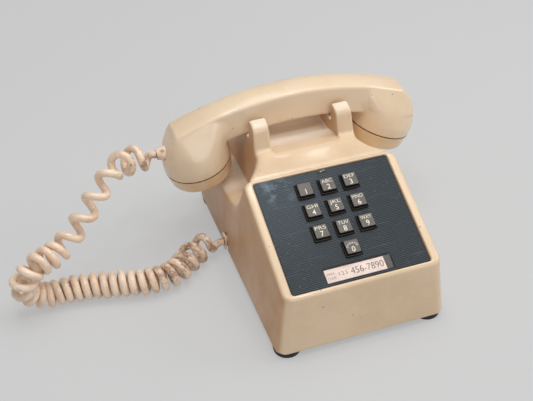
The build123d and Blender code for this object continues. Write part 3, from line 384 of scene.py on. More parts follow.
def plate_material():
    """Dark slate plate: fine ribs across it with a painted sheen on them, scratches,
    and a rubbed pale patch at its upper left under a painted bluish sheen.
    """
    material, tree, shader, where = new_material("ribbed_plate")
    centred = tree.stretch(where, (1, 1, 1), (-DECK_SLOPE, 0, 0))
    lifted = tree.vector("DOT_PRODUCT", where, tuple(DECK_UP))
    ribs = tree.span(lifted, DECK_LEVEL + 0.00003, DECK_LEVEL + 0.00014)
    drift = tree.noise(centred, 26.0, 5.0, 0.65)
    tone = tree.mix(tree.span(drift, 0.35, 0.7), PLATE_DARK, PLATE_LIGHT)
    # painted sheen: the raised ribs are coloured a lighter grey than the plate between them
    tone = tree.mix(tree.times(ribs, 0.75), tone, RIB_SHEEN_GREY)
    scratches = tree.most(*[
        tree.span(tree.noise(tree.stretch(centred, scale, (0, 0, turned)), 1.0, 2.0), low, high)
        for scale, turned, low, high in SCRATCHES
    ])
    away = tree.vector("DISTANCE", where, WORN_SHEEN_SPOT)
    wear_and_sheen = tree.span(away, 0.002, 0.023, 1.0, 0.0)
    wear_and_sheen = tree.times(wear_and_sheen, tree.span(tree.noise(centred, 90.0, 6.0, 0.75), 0.38, 0.72))
    scratches = tree.times(scratches, tree.maths("MULTIPLY_ADD", wear_and_sheen, 0.45, 0.10))
    flecks = tree.span(tree.noise(centred, 420.0, 4.0, 0.8), 0.60, 0.70)
    flecks = tree.times(flecks, tree.span(tree.noise(centred, 30.0, 3.0, 0.6), 0.42, 0.62, 0.05, 0.34))
    tone = tree.mix(tree.most(scratches, flecks), tone, SCRATCH_GREY)
    # painted sheen: bluish grey on the worn spot, spreading faintly round it
    haze = tree.span(away, 0.0, 0.085, 0.06, 0.0)
    tone = tree.mix(tree.most(tree.times(wear_and_sheen, 0.62), haze), tone, PAINTED_SHEEN_GREY)
    tree.feed(shader, {"Base Color": tone, "Roughness": tree.maths("MULTIPLY_ADD", drift, 0.2, 0.28),
                       "Normal": tree.bump(0.15, tree.grain(centred)), "Specular IOR Level": 0.3})
    return material


def key_material():
    """Near-black key with a worn top painted dark grey where it faces up, and a paler ledge round its foot;
    both are painted light.
    """
    material, tree, shader, where = new_material("key_plastic")
    age = place(tree, aged, Position=where, Colour=linear(102, 97, 92), Stain=linear(84, 78, 72),
                Staining=0.6, Specks=0.1, Scale=150.0)
    rub = place(tree, edges, Position=where, Width=0.0004, Amount=0.8)
    lifted = tree.vector("DOT_PRODUCT", where, tuple(DECK_UP))
    sunk = tree.span(lifted, DECK_LEVEL - 0.0004, DECK_LEVEL + 0.0006, 1.0, 0.0)
    # painted light: the up-facing top is coloured dark grey, the sides stay near-black
    top = tree.span(tree.vector("DOT_PRODUCT", tree.normal(), tuple(DECK_UP)), 0.86, 0.97)
    top = tree.times(top, tree.span(lifted, DECK_LEVEL + 0.0040, DECK_LEVEL + 0.0043))
    # painted light: the ledge round the key's foot is coloured paler
    lit_ledge = tree.times(tree.span(lifted, DECK_LEVEL + 0.0004, DECK_LEVEL + 0.0006),
                       tree.span(lifted, DECK_LEVEL + 0.0012, DECK_LEVEL + 0.0014, 0.85, 0.0))
    tone = tree.mix(top, KEY_BLACK, age.outputs["Colour"])
    tone = tree.mix(lit_ledge, tone, LIT_LEDGE_GREY)
    tone = tree.mix(tree.times(rub.outputs["Mask"], 0.5), tone, KEY_RUBBED)
    roughness = tree.maths("MULTIPLY_ADD", sunk, 0.5, tree.maths("MULTIPLY_ADD", top, 0.22, 0.22))
    tree.feed(shader, {"Base Color": tone, "Roughness": roughness,
                       "Normal": tree.bump(0.1, age.outputs["Grain"], Normal=rub.outputs["Normal"])})
    return material


def clear_plastic():
    """Thin clear plastic, seen by its gloss and a slight haze."""
    material, tree, shader, where = new_material("clear_plastic")
    haze = tree.noise(where, 140.0, 4.0, 0.6)
    tree.feed(shader, {"Base Color": linear(240, 232, 222), "Alpha": tree.span(haze, 0.3, 0.8, 0.03, 0.08),
                       "Roughness": tree.span(haze, 0.3, 0.7, 0.05, 0.18)})
    return material


cord_plastic = cord_material()
ribbed_plate = plate_material()
key_plastic = key_material()
window_clear = clear_plastic()
card_paper = worn_finish("card_paper", (250, 228, 218), (230, 198, 182), 0.6, scale=90.0, specks=0.3)
legend_paint = worn_finish("legend_paint", (250, 240, 218), (226, 212, 184), 0.5, scale=400.0)
ink = worn_finish("typed_ink", (52, 46, 46), (96, 84, 80), 0.6, scale=700.0)

# ---------------------------------------------------------------- the curly cord
# the middle line of the coil, from the bushing in the base to the gland in the handset
ROUTE = [
    (-0.0733, 0.025, 0.0125), (-0.0813, 0.025, 0.0125), (-0.093, 0.025, 0.0125), (-0.104, 0.018, 0.013),
    (-0.115, 0.007, 0.0123), (-0.128, 0.0005, 0.0118), (-0.148, 0.0, 0.0118), (-0.170, 0.006, 0.0118),
    (-0.192, 0.011, 0.0118), (-0.213, 0.013, 0.0118), (-0.231, 0.0125, 0.012), (-0.244, 0.010, 0.023),
    (-0.245, 0.0045, 0.039), (-0.234, 0.006, 0.051), (-0.216, 0.015, 0.0505), (-0.202, 0.025, 0.0545),
    (-0.189, 0.031, 0.066), (-0.177, 0.036, 0.080), (-0.165, 0.042, 0.091), (-0.152, 0.052, 0.098),
    (-0.138, 0.061, 0.0925), (-0.1255, 0.061, 0.0925), (-0.1175, 0.061, 0.0925),
]
WIRE_R = 0.00325

# the coil along its route: share of the route, length of a turn in mm, radius in mm
COILING = [
    (0.000, 40.0, 0.0), (0.022, 22.0, 2.0), (0.045, 15.0, 9.0), (0.085, 14.0, 9.6), (0.125, 10.5, 9.4),
    (0.160, 9.0, 8.8), (0.200, 7.7, 8.4), (0.420, 7.7, 8.4), (0.465, 8.4, 8.4), (0.500, 10.5, 8.4),
    (0.590, 10.5, 8.4), (0.615, 8.4, 8.4), (0.650, 8.6, 8.4), (0.680, 17.0, 8.2), (0.720, 20.0, 7.6),
    (0.870, 20.0, 7.0), (0.905, 15.0, 8.6), (0.930, 14.5, 9.8), (0.968, 16.0, 9.6), (0.984, 24.0, 4.0),
    (0.993, 32.0, 0.6), (1.000, 40.0, 0.0),
]
ROUTE_STEPS, POINTS_PER_TURN = 6000, 14
FULL_RADIUS, SWELL, SHIFT = 0.008, 0.025, 0.0003  # how far the turns are out of true, and from which radius


def smooth_line(name, points, per_span, bevel=0.0):
    """An object with one NURBS spline over the control points given."""
    data = bpy.data.curves.new(name, "CURVE")
    data.dimensions = "3D"
    spline = data.splines.new("NURBS")
    spline.points.add(len(points) - 1)
    for point, spot in zip(spline.points, points):
        point.co = (*spot, 1)
    spline.order_u = 3
    spline.use_endpoint_u = True
    spline.resolution_u = per_span
    data.bevel_depth = bevel
    data.bevel_resolution = 3
    data.use_fill_caps = True
    return linked(name, data)


def walk(points):
    """Distances along a chain of points, and the unit directions there."""
    steps = np.diff(points, axis=0)
    lengths = np.linalg.norm(steps, axis=1)
    along = np.concatenate(([0.0], np.cumsum(lengths)))
    directions = np.gradient(points, along, axis=0)
    return along, directions / np.linalg.norm(directions, axis=1)[:, None]


route_mesh = plain_mesh(smooth_line("cord_route", ROUTE, 24))
centre = np.array([v.co for v in route_mesh.vertices])
along, heading = walk(centre)
whole = along[-1]
shares, pitches, radii = (np.array(column) for column in zip(*COILING))
fine = np.linspace(0, whole, ROUTE_STEPS)
pitch = np.interp(fine / whole, shares, pitches) * MM
phase = np.concatenate(([0.0], np.cumsum((fine[1] - fine[0]) / pitch[:-1]))) * 2 * pi
turns = phase[-1] / (2 * pi)
angles = np.linspace(0, phase[-1], int(turns * POINTS_PER_TURN))
stations = np.interp(angles, phase, fine)
spots = np.stack([np.interp(stations, along, centre[:, i]) for i in range(3)], axis=1)
aims = np.stack([np.interp(stations, along, heading[:, i]) for i in range(3)], axis=1)
side = Vector((0, 1, 0))
helix = []
wobble = np.random.default_rng(7)
marks = np.arange(int(turns) + 2)
loose = [np.interp(angles / (2 * pi), marks, wobble.normal(0, 1, len(marks))) for _ in range(3)]
for i, angle in enumerate(angles):
    aim = Vector(aims[i]).normalized()
    side = (side - aim * side.dot(aim)).normalized()
    third = aim.cross(side)
    radius = np.interp(stations[i] / whole, shares, radii) * MM
    slack = min(1, radius / FULL_RADIUS)
    radius *= 1 + SWELL * loose[0][i]
    shift = (side * loose[1][i] + third * loose[2][i]) * SHIFT * slack
    helix.append(Vector(spots[i]) + shift + (side * cos(angle) + third * sin(angle)) * radius)
helix = [Vector(ROUTE[0])] + helix[1:-1] + [Vector(ROUTE[-1])]
path = [tuple(v.co) for v in plain_mesh(smooth_line("cord_path", helix, 3)).vertices]
cord_mesh = plain_mesh(smooth_line("cord_body", helix, 3, WIRE_R))
cord_mesh.materials.clear()
cord_mesh.materials.append(cord_plastic)
cord_mesh.shade_smooth()
curly_cord = linked("curly_cord", cord_mesh)
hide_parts("handset_cord", "cord_lead_base", "cord_lead_handset")
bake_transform(curly_cord)

# ---------------------------------------------------------------- moulded shells
def remoulded(node, voxel, extra=()):
    """A fine even mesh of a CAD node and extra forms, merged first, so that its edges can be softened."""
    mesh = nodes[node].data.copy()
    merged = bmesh.new()
    merged.from_mesh(mesh)
    bmesh.ops.remove_doubles(merged, verts=merged.verts, dist=1e-6)
    for form in extra:
        merged.from_mesh(form)
    merged.to_mesh(mesh)
    merged.free()
    helper = linked("helper", mesh)
    remesh = helper.modifiers.new("remesh", "REMESH")
    remesh.mode = "VOXEL"
    remesh.voxel_size = voxel
    return plain_mesh(helper)


def spots_of(mesh):
    """A mesh's points as an array."""
    co = np.zeros(len(mesh.vertices) * 3)
    mesh.vertices.foreach_get("co", co)
    return co.reshape(-1, 3)


def relaxed(mesh, co, passes, weight=1.0):
    """Positions after a number of smoothing passes, each vertex held back by its weight."""
    ends = np.zeros(len(mesh.edges) * 2, np.int64)
    mesh.edges.foreach_get("vertices", ends)
    first, second = ends.reshape(-1, 2).T
    degree = np.bincount(np.concatenate((first, second)), minlength=len(co))[:, None]
    share = 0.5 * np.broadcast_to(np.asarray(weight, float).reshape(-1, 1), (len(co), 1))
    for _ in range(passes):
        total = np.stack([
            np.bincount(first, co[second, i], len(co)) + np.bincount(second, co[first, i], len(co))
            for i in range(3)
        ], axis=1)
        co = co + share * (total / degree - co)
    return co


def ramp(value, low, high):
    """A smooth step from 0 at low to 1 at high."""
    t = np.clip((value - low) / (high - low), 0, 1)
    return t * t * (3 - 2 * t)


def settle(mesh, co, share_of_faces=1.0):
    """Gives a mesh its last positions, thins its faces where asked and shades it smooth."""
    mesh.vertices.foreach_set("co", co.ravel())
    mesh.update()
    if share_of_faces < 1:
        helper = linked("helper", mesh)
        helper.modifiers.new("thin", "DECIMATE").ratio = share_of_faces
        mesh = plain_mesh(helper)
    mesh.shade_smooth()
    return mesh


def normals_of(mesh, co):
    """The directions that a mesh's points face, once they stand at co."""
    mesh.vertices.foreach_set("co", co.ravel())
    mesh.update()
    directions = np.zeros(len(mesh.vertices) * 3)
    mesh.vertex_normals.foreach_get("vector", directions)
    return directions.reshape(-1, 3)


# each bell's sections, in mm: height on the cup's axis, reach outward, reach inward, half width, squareness
MOUTH_BELL = [
    (0, 29, 29, 29, 2), (6, 29, 29.4, 28.9, 2.02), (12, 27.9, 29.7, 27.9, 2.1), (18, 25.6, 29.8, 25.2, 2.35),
    (24, 22.4, 29.9, 21.9, 2.8), (30, 18.2, 30, 18.1, 3.8), (35, 14.2, 30.2, 14.8, 6),
    (38.2, 11.2, 30.4, 12.2, 10),
]
EAR_BELL = [
    (0, 29, 29, 29, 2), (6, 29, 29.5, 28.9, 2.02), (12, 28.2, 30.2, 27.9, 2.1), (18, 26, 31, 25.2, 2.35),
    (24, 22.4, 31.6, 21.7, 2.8), (29, 18.4, 32.4, 18.2, 3.8), (33.5, 13.2, 33.6, 14.8, 6),
    (36.2, 9, 34.8, 12.4, 10),
]
SECTION_POINTS, RIM_POINTS = 48, 8
SOLID_RISE = 0.020  # the height on a cup's axis where the bell is solid
WIDE_FROM, NARROW_FROM = 0.044, 0.080  # where a bell's flat top starts: to trim by, and in the solid

# the handle's top: the radius and height of its two ridges, half the width between them, and its crown
RIDGE_R, RIDGE_TOP, RIDGE_HALF, CROWN = 0.260, 0.133, 0.012, 0.0018
RIDGE_ENDS = (0.1023, 0.0998)
CORNER, CORNER_CUT = 0.0020, 0.29  # the rounding where a ridge ends, and its middle point's share of it
HANDSET_Y, HANDLE_THICK, BELLY_SPREAD = 0.061, 0.0242, 0.003

# what isn't trimmed: the handle with a little room round it, the grip, and faces that look into the cup
BESIDE_ROOM, BELOW_ROOM, HANDLE_END, BELL_START, INTO_CUP = 0.0004, 0.0005, 0.098, 0.050, -0.6
TRIM_PASSES, TRIM_STEP = 10, 0.006


def ridge_height(x):
    """The height of the handle's two ridges at x."""
    return RIDGE_TOP - RIDGE_R + np.sqrt(RIDGE_R ** 2 - x ** 2)


def bell_points(seam, sections, end, inner):
    """Points on a bell with crisp corners to its flat top, whose ridges start at inner."""
    middle, axis = Vector(seam[0]), Vector(seam[1])
    sign = 1 if middle.x > 0 else -1
    outward_x = Vector((0, 1, 0)).cross(axis) * sign
    points = []
    for rise, outer, inward, half, power in sections:
        for i in range(SECTION_POINTS):
            c, d = cos(2 * pi * i / SECTION_POINTS), sin(2 * pi * i / SECTION_POINTS)
            x = (abs(c) ** (2 / power)) * (outer if c > 0 else -inward)
            y = (abs(d) ** (2 / power)) * (half if d > 0 else -half)
            points.append(middle + (axis * rise + outward_x * x + Vector((0, y, 0))) * MM)
    rim = [(x, RIDGE_HALF) for x in np.linspace(inner, end - CORNER, RIM_POINTS)]
    rim += [(end - CORNER * CORNER_CUT, RIDGE_HALF - CORNER * CORNER_CUT), (end, RIDGE_HALF - CORNER)]
    rim += [(x, y) for x in np.linspace(inner, end, RIM_POINTS) for y in (0.0, 0.004, 0.008)]
    for x, y in rim:
        lift = CROWN * (1 - (y / RIDGE_HALF) ** 2)
        points += [Vector((sign * x, HANDSET_Y + back * y, ridge_height(x) + lift)) for back in (-1, 1)]
    return points


def hull(points):
    """The convex hull of points, as a bmesh whose faces look outwards."""
    form = bmesh.new()
    for point in points:
        form.verts.new(point)
    made = bmesh.ops.convex_hull(form, input=form.verts)
    loose = [g for g in made["geom_interior"] if isinstance(g, bmesh.types.BMVert)]
    bmesh.ops.delete(form, geom=loose, context="VERTS")
    bmesh.ops.recalc_face_normals(form, faces=form.faces)
    form.normal_update()
    return form


def bell_form(seam, sections, end):
    """A mesh of the bell's solid top, and the faces that its outside is trimmed to."""
    wide = hull(bell_points(seam, sections, end, WIDE_FROM))
    planes = np.array([(*f.normal, f.normal.dot(f.calc_center_median())) for f in wide.faces])
    wide.free()
    narrow = hull(bell_points(seam, sections, end, NARROW_FROM))
    middle, axis = Vector(seam[0]), Vector(seam[1])
    bmesh.ops.bisect_plane(narrow, geom=narrow.verts[:] + narrow.edges[:] + narrow.faces[:], dist=1e-6,
                           plane_co=middle + axis * SOLID_RISE, plane_no=-axis, clear_outer=True)
    top = hull([v.co.copy() for v in narrow.verts])
    mesh = bpy.data.meshes.new("bell_top")
    top.to_mesh(mesh)
    narrow.free()
    top.free()
    return mesh, planes


def trimmed(co, planes, sign):
    """Positions drawn in to a bell's faces; the handle between the bells is left alone."""
    radial = np.hypot(co[:, 0], co[:, 2] - RIDGE_TOP + RIDGE_R) - RIDGE_R
    reach = RIDGE_HALF + BELLY_SPREAD * np.clip(-radial / HANDLE_THICK, 0, 1) + BESIDE_ROOM
    in_handle = (abs(co[:, 1] - HANDSET_Y) < reach) & (radial > -HANDLE_THICK - BELOW_ROOM)
    in_handle &= co[:, 0] * sign < HANDLE_END
    free = (co[:, 0] * sign > BELL_START) & ~in_handle
    planes = planes[planes[:, 2] > INTO_CUP]
    for _ in range(TRIM_PASSES):
        past = co @ planes[:, :3].T - planes[:, 3]
        worst = past.argmax(axis=1)
        excess = np.clip(past[np.arange(len(co)), worst], 0, TRIM_STEP) * free
        co = co - planes[worst, :3] * excess[:, None]
    return co


def from_ridges(co):
    """Distance from the two top ridges and from the edges across their ends."""
    x, y, z = co.T
    y = abs(y - HANDSET_Y)
    end = np.where(x < 0, *RIDGE_ENDS)
    radial = np.hypot(x, z - RIDGE_TOP + RIDGE_R) - RIDGE_R
    beside = np.hypot(np.hypot(radial, y - RIDGE_HALF), np.clip(abs(x) - end, 0, None))
    across = np.hypot(np.hypot(abs(x) - end, z - ridge_height(end)), np.clip(y - RIDGE_HALF, 0, None))
    return np.minimum(beside, across)


# the handset: facets are smoothed away from the ridges and the seams, then its hollow corners are filled
FACET_PASSES, EVENING_PASSES, FILLET_PASSES = 36, 2, 110
forms = [bell_form(SEAMS[0], MOUTH_BELL, RIDGE_ENDS[0]), bell_form(SEAMS[1], EAR_BELL, RIDGE_ENDS[1])]
shell = remoulded("handset_shell", 0.9 * MM, [mesh for mesh, _ in forms])
start = spots_of(shell)
start = trimmed(trimmed(start, forms[0][1], -1), forms[1][1], 1)
seam_rise = np.minimum(*[(start - np.array(m)) @ np.array(a) for m, a in SEAMS])
softened = ramp(from_ridges(start), 0.0020, 0.0070) * ramp(abs(start[:, 0]), 0.048, 0.056)
softened *= ramp(seam_rise, 0.002, 0.005)
light = relaxed(shell, relaxed(shell, start, FACET_PASSES, softened), EVENING_PASSES)
heavy = relaxed(shell, light, FILLET_PASSES)
outward = ((heavy - light) * normals_of(shell, light)).sum(axis=1)
fill = (ramp(outward, 0.00005, 0.0004) * ramp(from_ridges(light), 0.0016, 0.0050))[:, None]
shell = settle(shell, relaxed(shell, light + fill * (heavy - light), 1))
handset_skin = add_piece("handset_skin", shell, "handset", handset_plastic)
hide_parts("handset_shell")

# the housing: softened behind the plate's rim, but not at the ears or in the trough
SOFTENING_PASSES, SHOULDER_PASSES, LAST_PASSES = 50, 14, 3
SHOULDER_DROOP, HOUSING_FACES = 0.0020, 0.50
body = remoulded("housing", 1.0 * MM)
start = spots_of(body)
x, y, z = start.T
# each mask rises from 0 to 1 between the two distances of every step
behind_rim = ramp(y, -0.002, 0.006) * ramp(z, 0.042, 0.056)
at_ears = ramp(z, 0.094, 0.097) * ramp(y, 0.020, 0.024) * ramp(-abs(x), -0.0475, -0.0455)
in_trough = ramp(y, 0.040, 0.044) * ramp(-abs(x), -0.0475, -0.0455)
in_trough += ramp(y, 0.0165, 0.0185) * ramp(-abs(x), -0.031, -0.0295)
in_trough *= ramp(-y, -0.082, -0.078) * ramp(z, 0.086, 0.091)
free = behind_rim * np.clip(1 - at_ears - in_trough, 0, 1)
co = relaxed(body, start, SOFTENING_PASSES, free)
droop = ramp(abs(x), 0.032, 0.056) * ramp(y, -0.004, 0.019) * ramp(-y, -0.031, -0.022) * ramp(z, 0.058, 0.094)
co[:, 2] -= SHOULDER_DROOP * droop * ramp(-z, -0.112, -0.101)
co = relaxed(body, co, SHOULDER_PASSES, free)
co = relaxed(body, co, LAST_PASSES)

# room inside for the plungers' collars over their whole rise
PLUNGER_X, COLLAR_ROOM, COLLAR_WALL, COLLAR_Z = 0.036, 0.0063, 0.0015, (0.080, 0.0908)
aside = co[:, :2] - np.stack([np.sign(co[:, 0]) * PLUNGER_X, np.full(len(co), HANDSET_Y)], axis=1)
reach = np.linalg.norm(aside, axis=1)
beside_collar = (reach < COLLAR_ROOM) & (reach > COLLAR_ROOM - COLLAR_WALL)
beside_collar &= (co[:, 2] > COLLAR_Z[0]) & (co[:, 2] < COLLAR_Z[1])
co[beside_collar, :2] += (aside * (COLLAR_ROOM / reach - 1)[:, None])[beside_collar]
body = settle(body, co, HOUSING_FACES)
housing_skin = add_piece("housing_skin", body, "base", housing_plastic)
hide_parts("housing")

# ---------------------------------------------------------------- finishes of the carried nodes
FINISHES = {
    "housing": housing_plastic, "handset_shell": handset_plastic, "transmitter_cap": cap_plastic,
    "receiver_cap": cap_plastic, "cord_bushing": cord_plastic, "handset_gland": cord_plastic,
    "faceplate": ribbed_plate, "number_card": card_paper, "card_window": window_clear, "plunger_left": nylon,
    "plunger_right": nylon, "dial_board": board, "tone_coils": ferrite, "ringer_coil": winding,
    "gong_low": brass,
    "gong_high": brass, "contact_springs": brass, "network_block": enamel, "base_plate": plated,
    "dial_bracket": plated, "ringer_frame": plated, "hookswitch_bracket": plated, "wheel_bracket": plated,
    "hook_lever": plated, "clapper": plated, "housing_screws": screw_steel, "dial_screws": screw_steel,
    "gong_screws": screw_steel, "network_terminals": screw_steel, "hook_pin": screw_steel, "key_guide": black,
    "volume_wheel": black, "transmitter_unit": black, "receiver_unit": black, "transmitter_cup": black,
    "line_grommet": rubber,
}
for name, node in nodes.items():
    finish = FINISHES.get(name)
    if finish is None:
        finish = key_plastic if name.startswith("key_") else rubber
    node.data.materials.clear()
    node.data.materials.append(finish)

# ---------------------------------------------------------------- the keys' legends
LEGENDS = {
    "1": "", "2": "ABC", "3": "DEF", "4": "GHI", "5": "JKL", "6": "MNO", "7": "PRS", "8": "TUV", "9": "WXY",
    "0": "OPERATOR",
}

CAP_HEIGHT = 0.69  # of the built-in letters, at size 1


def lettering(text, height, bold=0.0, width=1.0):
    """A flat mesh of a line of text, centred on its own box, lying in the XY plane."""
    data = bpy.data.curves.new("lettering", "FONT")
    data.body = text
    data.offset = bold
    data.align_x = "CENTER"
    mesh = plain_mesh(linked("lettering", data))
    co = np.array([v.co for v in mesh.vertices])
    middle = (co.min(0) + co.max(0))[0] / 2
    scale = height / CAP_HEIGHT
    flat = Matrix.Diagonal((scale * width, scale, 1, 1))
    mesh.transform(flat @ Matrix.Translation((-middle, -CAP_HEIGHT / 2, 0)))
    return mesh


def key_top(name):
    """The middle of a key's top, on the plate's axes: across, up the slope, height."""
    co = np.array([v.co for v in nodes[name].data.vertices]) - np.array(DECK_ORIGIN)
    height = co @ np.array(DECK_UP)
    top = co[height > height.max() - 0.0002]
    v = top @ np.array(DECK_BACK)
    return (top[:, 0].min() + top[:, 0].max()) / 2, (v.min() + v.max()) / 2, height.max()


def join_meshes(name, parts):
    """One mesh of several (mesh, matrix) pairs."""
    whole_mesh = bmesh.new()
    for mesh, matrix in parts:
        mesh.transform(matrix)
        whole_mesh.from_mesh(mesh)
    joined = bpy.data.meshes.new(name)
    whole_mesh.to_mesh(joined)
    whole_mesh.free()
    return joined


def fitted(text, height, span, bold=0.0):
    """Lettering of a height, spread to a width."""
    mesh = lettering(text, height, bold)
    wide = max(v.co.x for v in mesh.vertices) - min(v.co.x for v in mesh.vertices)
    mesh.transform(Matrix.Diagonal((span / wide, 1, 1, 1)))
    return mesh


PAINT_PROUD = 0.00004
# each legend's place up the slope from the key's middle, its height and how much bolder its strokes are
DIGIT_V, DIGIT_HEIGHT, DIGIT_BOLD = -0.0022, 0.0044, 0.004
LETTERS_V, LETTERS_HEIGHT, LETTERS_BOLD, LETTERS_WIDTH = 0.0029, 0.0029, -0.006, 0.0088
FAN_V, FAN_HEIGHT = -0.0016, 0.0016
FAN_HALF, FAN_R = 66, 0.0046  # the arch of letters on the 0 key: degrees to each side, and its radius
for digit, letters in LEGENDS.items():
    x, v, height = key_top(f"key_{digit}")
    face = height + PAINT_PROUD
    lines = [(lettering(digit, DIGIT_HEIGHT, DIGIT_BOLD, 0.95), on_deck(x, v + DIGIT_V, face))]
    if digit == "0":
        for i, letter in enumerate(letters):
            fan = radians(FAN_HALF - i * 2 * FAN_HALF / (len(letters) - 1))
            bend = Matrix.Rotation(fan, 4, "Z") @ Matrix.Translation((0, FAN_R, 0))
            lines.append((lettering(letter, FAN_HEIGHT, width=0.8), on_deck(x, v + FAN_V, face) @ bend))
    elif letters:
        letter_row = fitted(letters, LETTERS_HEIGHT, LETTERS_WIDTH, LETTERS_BOLD)
        lines.append((letter_row, on_deck(x, v + LETTERS_V, face)))
    add_piece(f"legend_{digit}", join_meshes("legend", lines), f"key_{digit}", legend_paint)

# ---------------------------------------------------------------- the number card
CARD_V = 0.0086


def tile(name, x, v, height, size, material, round_by):
    """A thin plate lying on the sloping deck, its corners rounded and its edges bevelled."""

    def rise(edge):
        return abs((edge.verts[0].co - edge.verts[1].co).z)

    thick = size[2]
    shape = bmesh.new()
    bmesh.ops.create_cube(shape, size=1.0)
    shape.transform(Matrix.Diagonal((*size, 1)))
    bmesh.ops.bevel(shape, geom=[e for e in shape.edges if rise(e) > thick / 2], offset=round_by, segments=4,
                    affect="EDGES", profile=0.5)
    bmesh.ops.bevel(shape, geom=[e for e in shape.edges if rise(e) < 1e-7], offset=thick * 0.2, segments=2,
                    affect="EDGES", profile=0.5)
    shape.transform(on_deck(x, v, height))
    bmesh.ops.recalc_face_normals(shape, faces=shape.faces)
    mesh = bpy.data.meshes.new(name)
    shape.to_mesh(mesh)
    shape.free()
    return add_piece(name, mesh, "base", material)


card_face = max((Vector(v.co) - DECK_ORIGIN).dot(DECK_UP) for v in nodes["number_card"].data.vertices)
SLOT_FLOOR, CARD_MIDDLE, INK_LEVEL = card_face - 0.00034, card_face - 0.00018, card_face - 0.00005
tile("card_slot_floor", 0.0, CARD_V, SLOT_FLOOR, (0.0552, 0.0120, 0.0001), black, 0.0006)
paper = tile("aged_card", -0.0026, CARD_V, CARD_MIDDLE, (0.0490, 0.0110, 0.0002), card_paper, 0.0003)
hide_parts("number_card")
typed = [
    (fitted(text, height, wide, bold), on_deck(x, CARD_V + up, INK_LEVEL))
    for text, height, wide, bold, x, up in (
        ("AREA", 0.0022, 0.0066, -0.01, -0.0226, 0.0014),
        ("CODE", 0.0022, 0.0066, -0.01, -0.0226, -0.0021),
        ("123", 0.0030, 0.0066, -0.008, -0.0128, 0.0),
        ("456-7890", 0.0054, 0.0270, -0.006, 0.0070, 0.0),
    )
]
add_piece("typed_numbers", join_meshes("typed", typed), "base", ink)

# ---------------------------------------------------------------- ribs across the faceplate
RIB_PITCH = 0.00140
BAR_RADIUS, BAR_LENGTH = 0.5, 1.0  # before each bar is scaled to its own width, height and length
RIB_INPUTS = {
    "Width": ("NodeSocketFloat", 0.0008), "Height": ("NodeSocketFloat", 0.00040),
    "Sides": ("NodeSocketInt", 8), "Material": ("NodeSocketMaterial", ribbed_plate),
}
PLATE_HALF, PLATE_V = 0.0562, (0.0010, 0.0972)
NOTCH_V = 0.0964

# what the ribs stop at, the keys, the card window and the catch: middle, half width, half height
STOPS = [(x, v, 0.0075, 0.0075) for x, v, _ in (key_top(f"key_{digit}") for digit in LEGENDS)]
STOPS += [(0.0, CARD_V, 0.0281, 0.0066), (0.0, NOTCH_V, 0.0046, 0.0018)]


def rib_spans(v):
    """The stretches of one rib that are clear of the stops."""
    holes = sorted((x - half, x + half) for x, at, half, high in STOPS if abs(v - at) < high)
    ends = [-PLATE_HALF] + [side for hole in holes for side in hole] + [PLATE_HALF]
    return zip(ends[0::2], ends[1::2])


def rib_tree():
    """Geometry nodes: a rounded bar on every point, as long as the point says."""
    group = bpy.data.node_groups.new("ribs", "GeometryNodeTree")
    for name, (kind, value) in RIB_INPUTS.items():
        socket = group.interface.new_socket(name=name, in_out="INPUT", socket_type=kind)
        if kind != "NodeSocketMaterial":
            socket.default_value = value
    group.interface.new_socket(name="Geometry", in_out="OUTPUT", socket_type="NodeSocketGeometry")
    points = group.interface.new_socket(name="Points", in_out="INPUT", socket_type="NodeSocketGeometry")
    group.interface.move(points, 0)
    make, link = group.nodes.new, group.links.new
    given, out = make("NodeGroupInput"), make("NodeGroupOutput")
    bar = make("GeometryNodeMeshCylinder")
    bar.inputs["Radius"].default_value = BAR_RADIUS
    bar.inputs["Depth"].default_value = BAR_LENGTH
    link(given.outputs["Sides"], bar.inputs["Vertices"])
    lie = make("GeometryNodeTransform")
    lie.inputs["Rotation"].default_value = (0, pi / 2, 0)
    link(bar.outputs["Mesh"], lie.inputs["Geometry"])
    long = make("GeometryNodeInputNamedAttribute")
    long.data_type = "FLOAT"
    long.inputs["Name"].default_value = "long"
    size = make("ShaderNodeCombineXYZ")
    link(long.outputs["Attribute"], size.inputs["X"])
    link(given.outputs["Width"], size.inputs["Y"])
    link(given.outputs["Height"], size.inputs["Z"])
    spread = make("GeometryNodeInstanceOnPoints")
    link(given.outputs["Points"], spread.inputs["Points"])
    link(lie.outputs["Geometry"], spread.inputs["Instance"])
    link(size.outputs["Vector"], spread.inputs["Scale"])
    real = make("GeometryNodeRealizeInstances")
    link(spread.outputs["Instances"], real.inputs["Geometry"])
    paint = make("GeometryNodeSetMaterial")
    link(real.outputs["Geometry"], paint.inputs["Geometry"])
    link(given.outputs["Material"], paint.inputs["Material"])
    link(paint.outputs["Geometry"], out.inputs["Geometry"])
    return group


bars = []
v = PLATE_V[0]
while v < PLATE_V[1]:
    bars += [((low + high) / 2, v, high - low) for low, high in rib_spans(v)]
    v += RIB_PITCH
seeds = bpy.data.meshes.new("rib_points")
seeds.from_pydata([(x, v, 0) for x, v, _ in bars], [], [])
seeds.attributes.new("long", "FLOAT", "POINT").data.foreach_set("value", [long for _, _, long in bars])
seed_object = linked("rib_points", seeds)
ribbing = seed_object.modifiers.new("ribs", "NODES")
ribbing.node_group = rib_tree()
for item in ribbing.node_group.interface.items_tree:
    if item.in_out == "INPUT" and item.name in RIB_INPUTS:
        ribbing[item.identifier] = RIB_INPUTS[item.name][1]
rib_mesh = plain_mesh(seed_object)
rib_mesh.transform(on_deck(0.0, 0.0, 0.0))
add_piece("plate_ribs", rib_mesh, "base", ribbed_plate)

# the small sprung catch at the top of the plate, and a black tile that paints the shade in its notch
tile("catch_notch_shade", 0.0, NOTCH_V, 0.00005, (0.0090, 0.0026, 0.0003), black, 0.0006)
tile("plate_catch", -0.0004, 0.0960, 0.0005, (0.0020, 0.0015, 0.0008), dull_steel, 0.0004)
tile("plate_catch_hook", 0.0021, 0.0966, 0.0005, (0.0014, 0.0012, 0.0008), dull_steel, 0.0003)

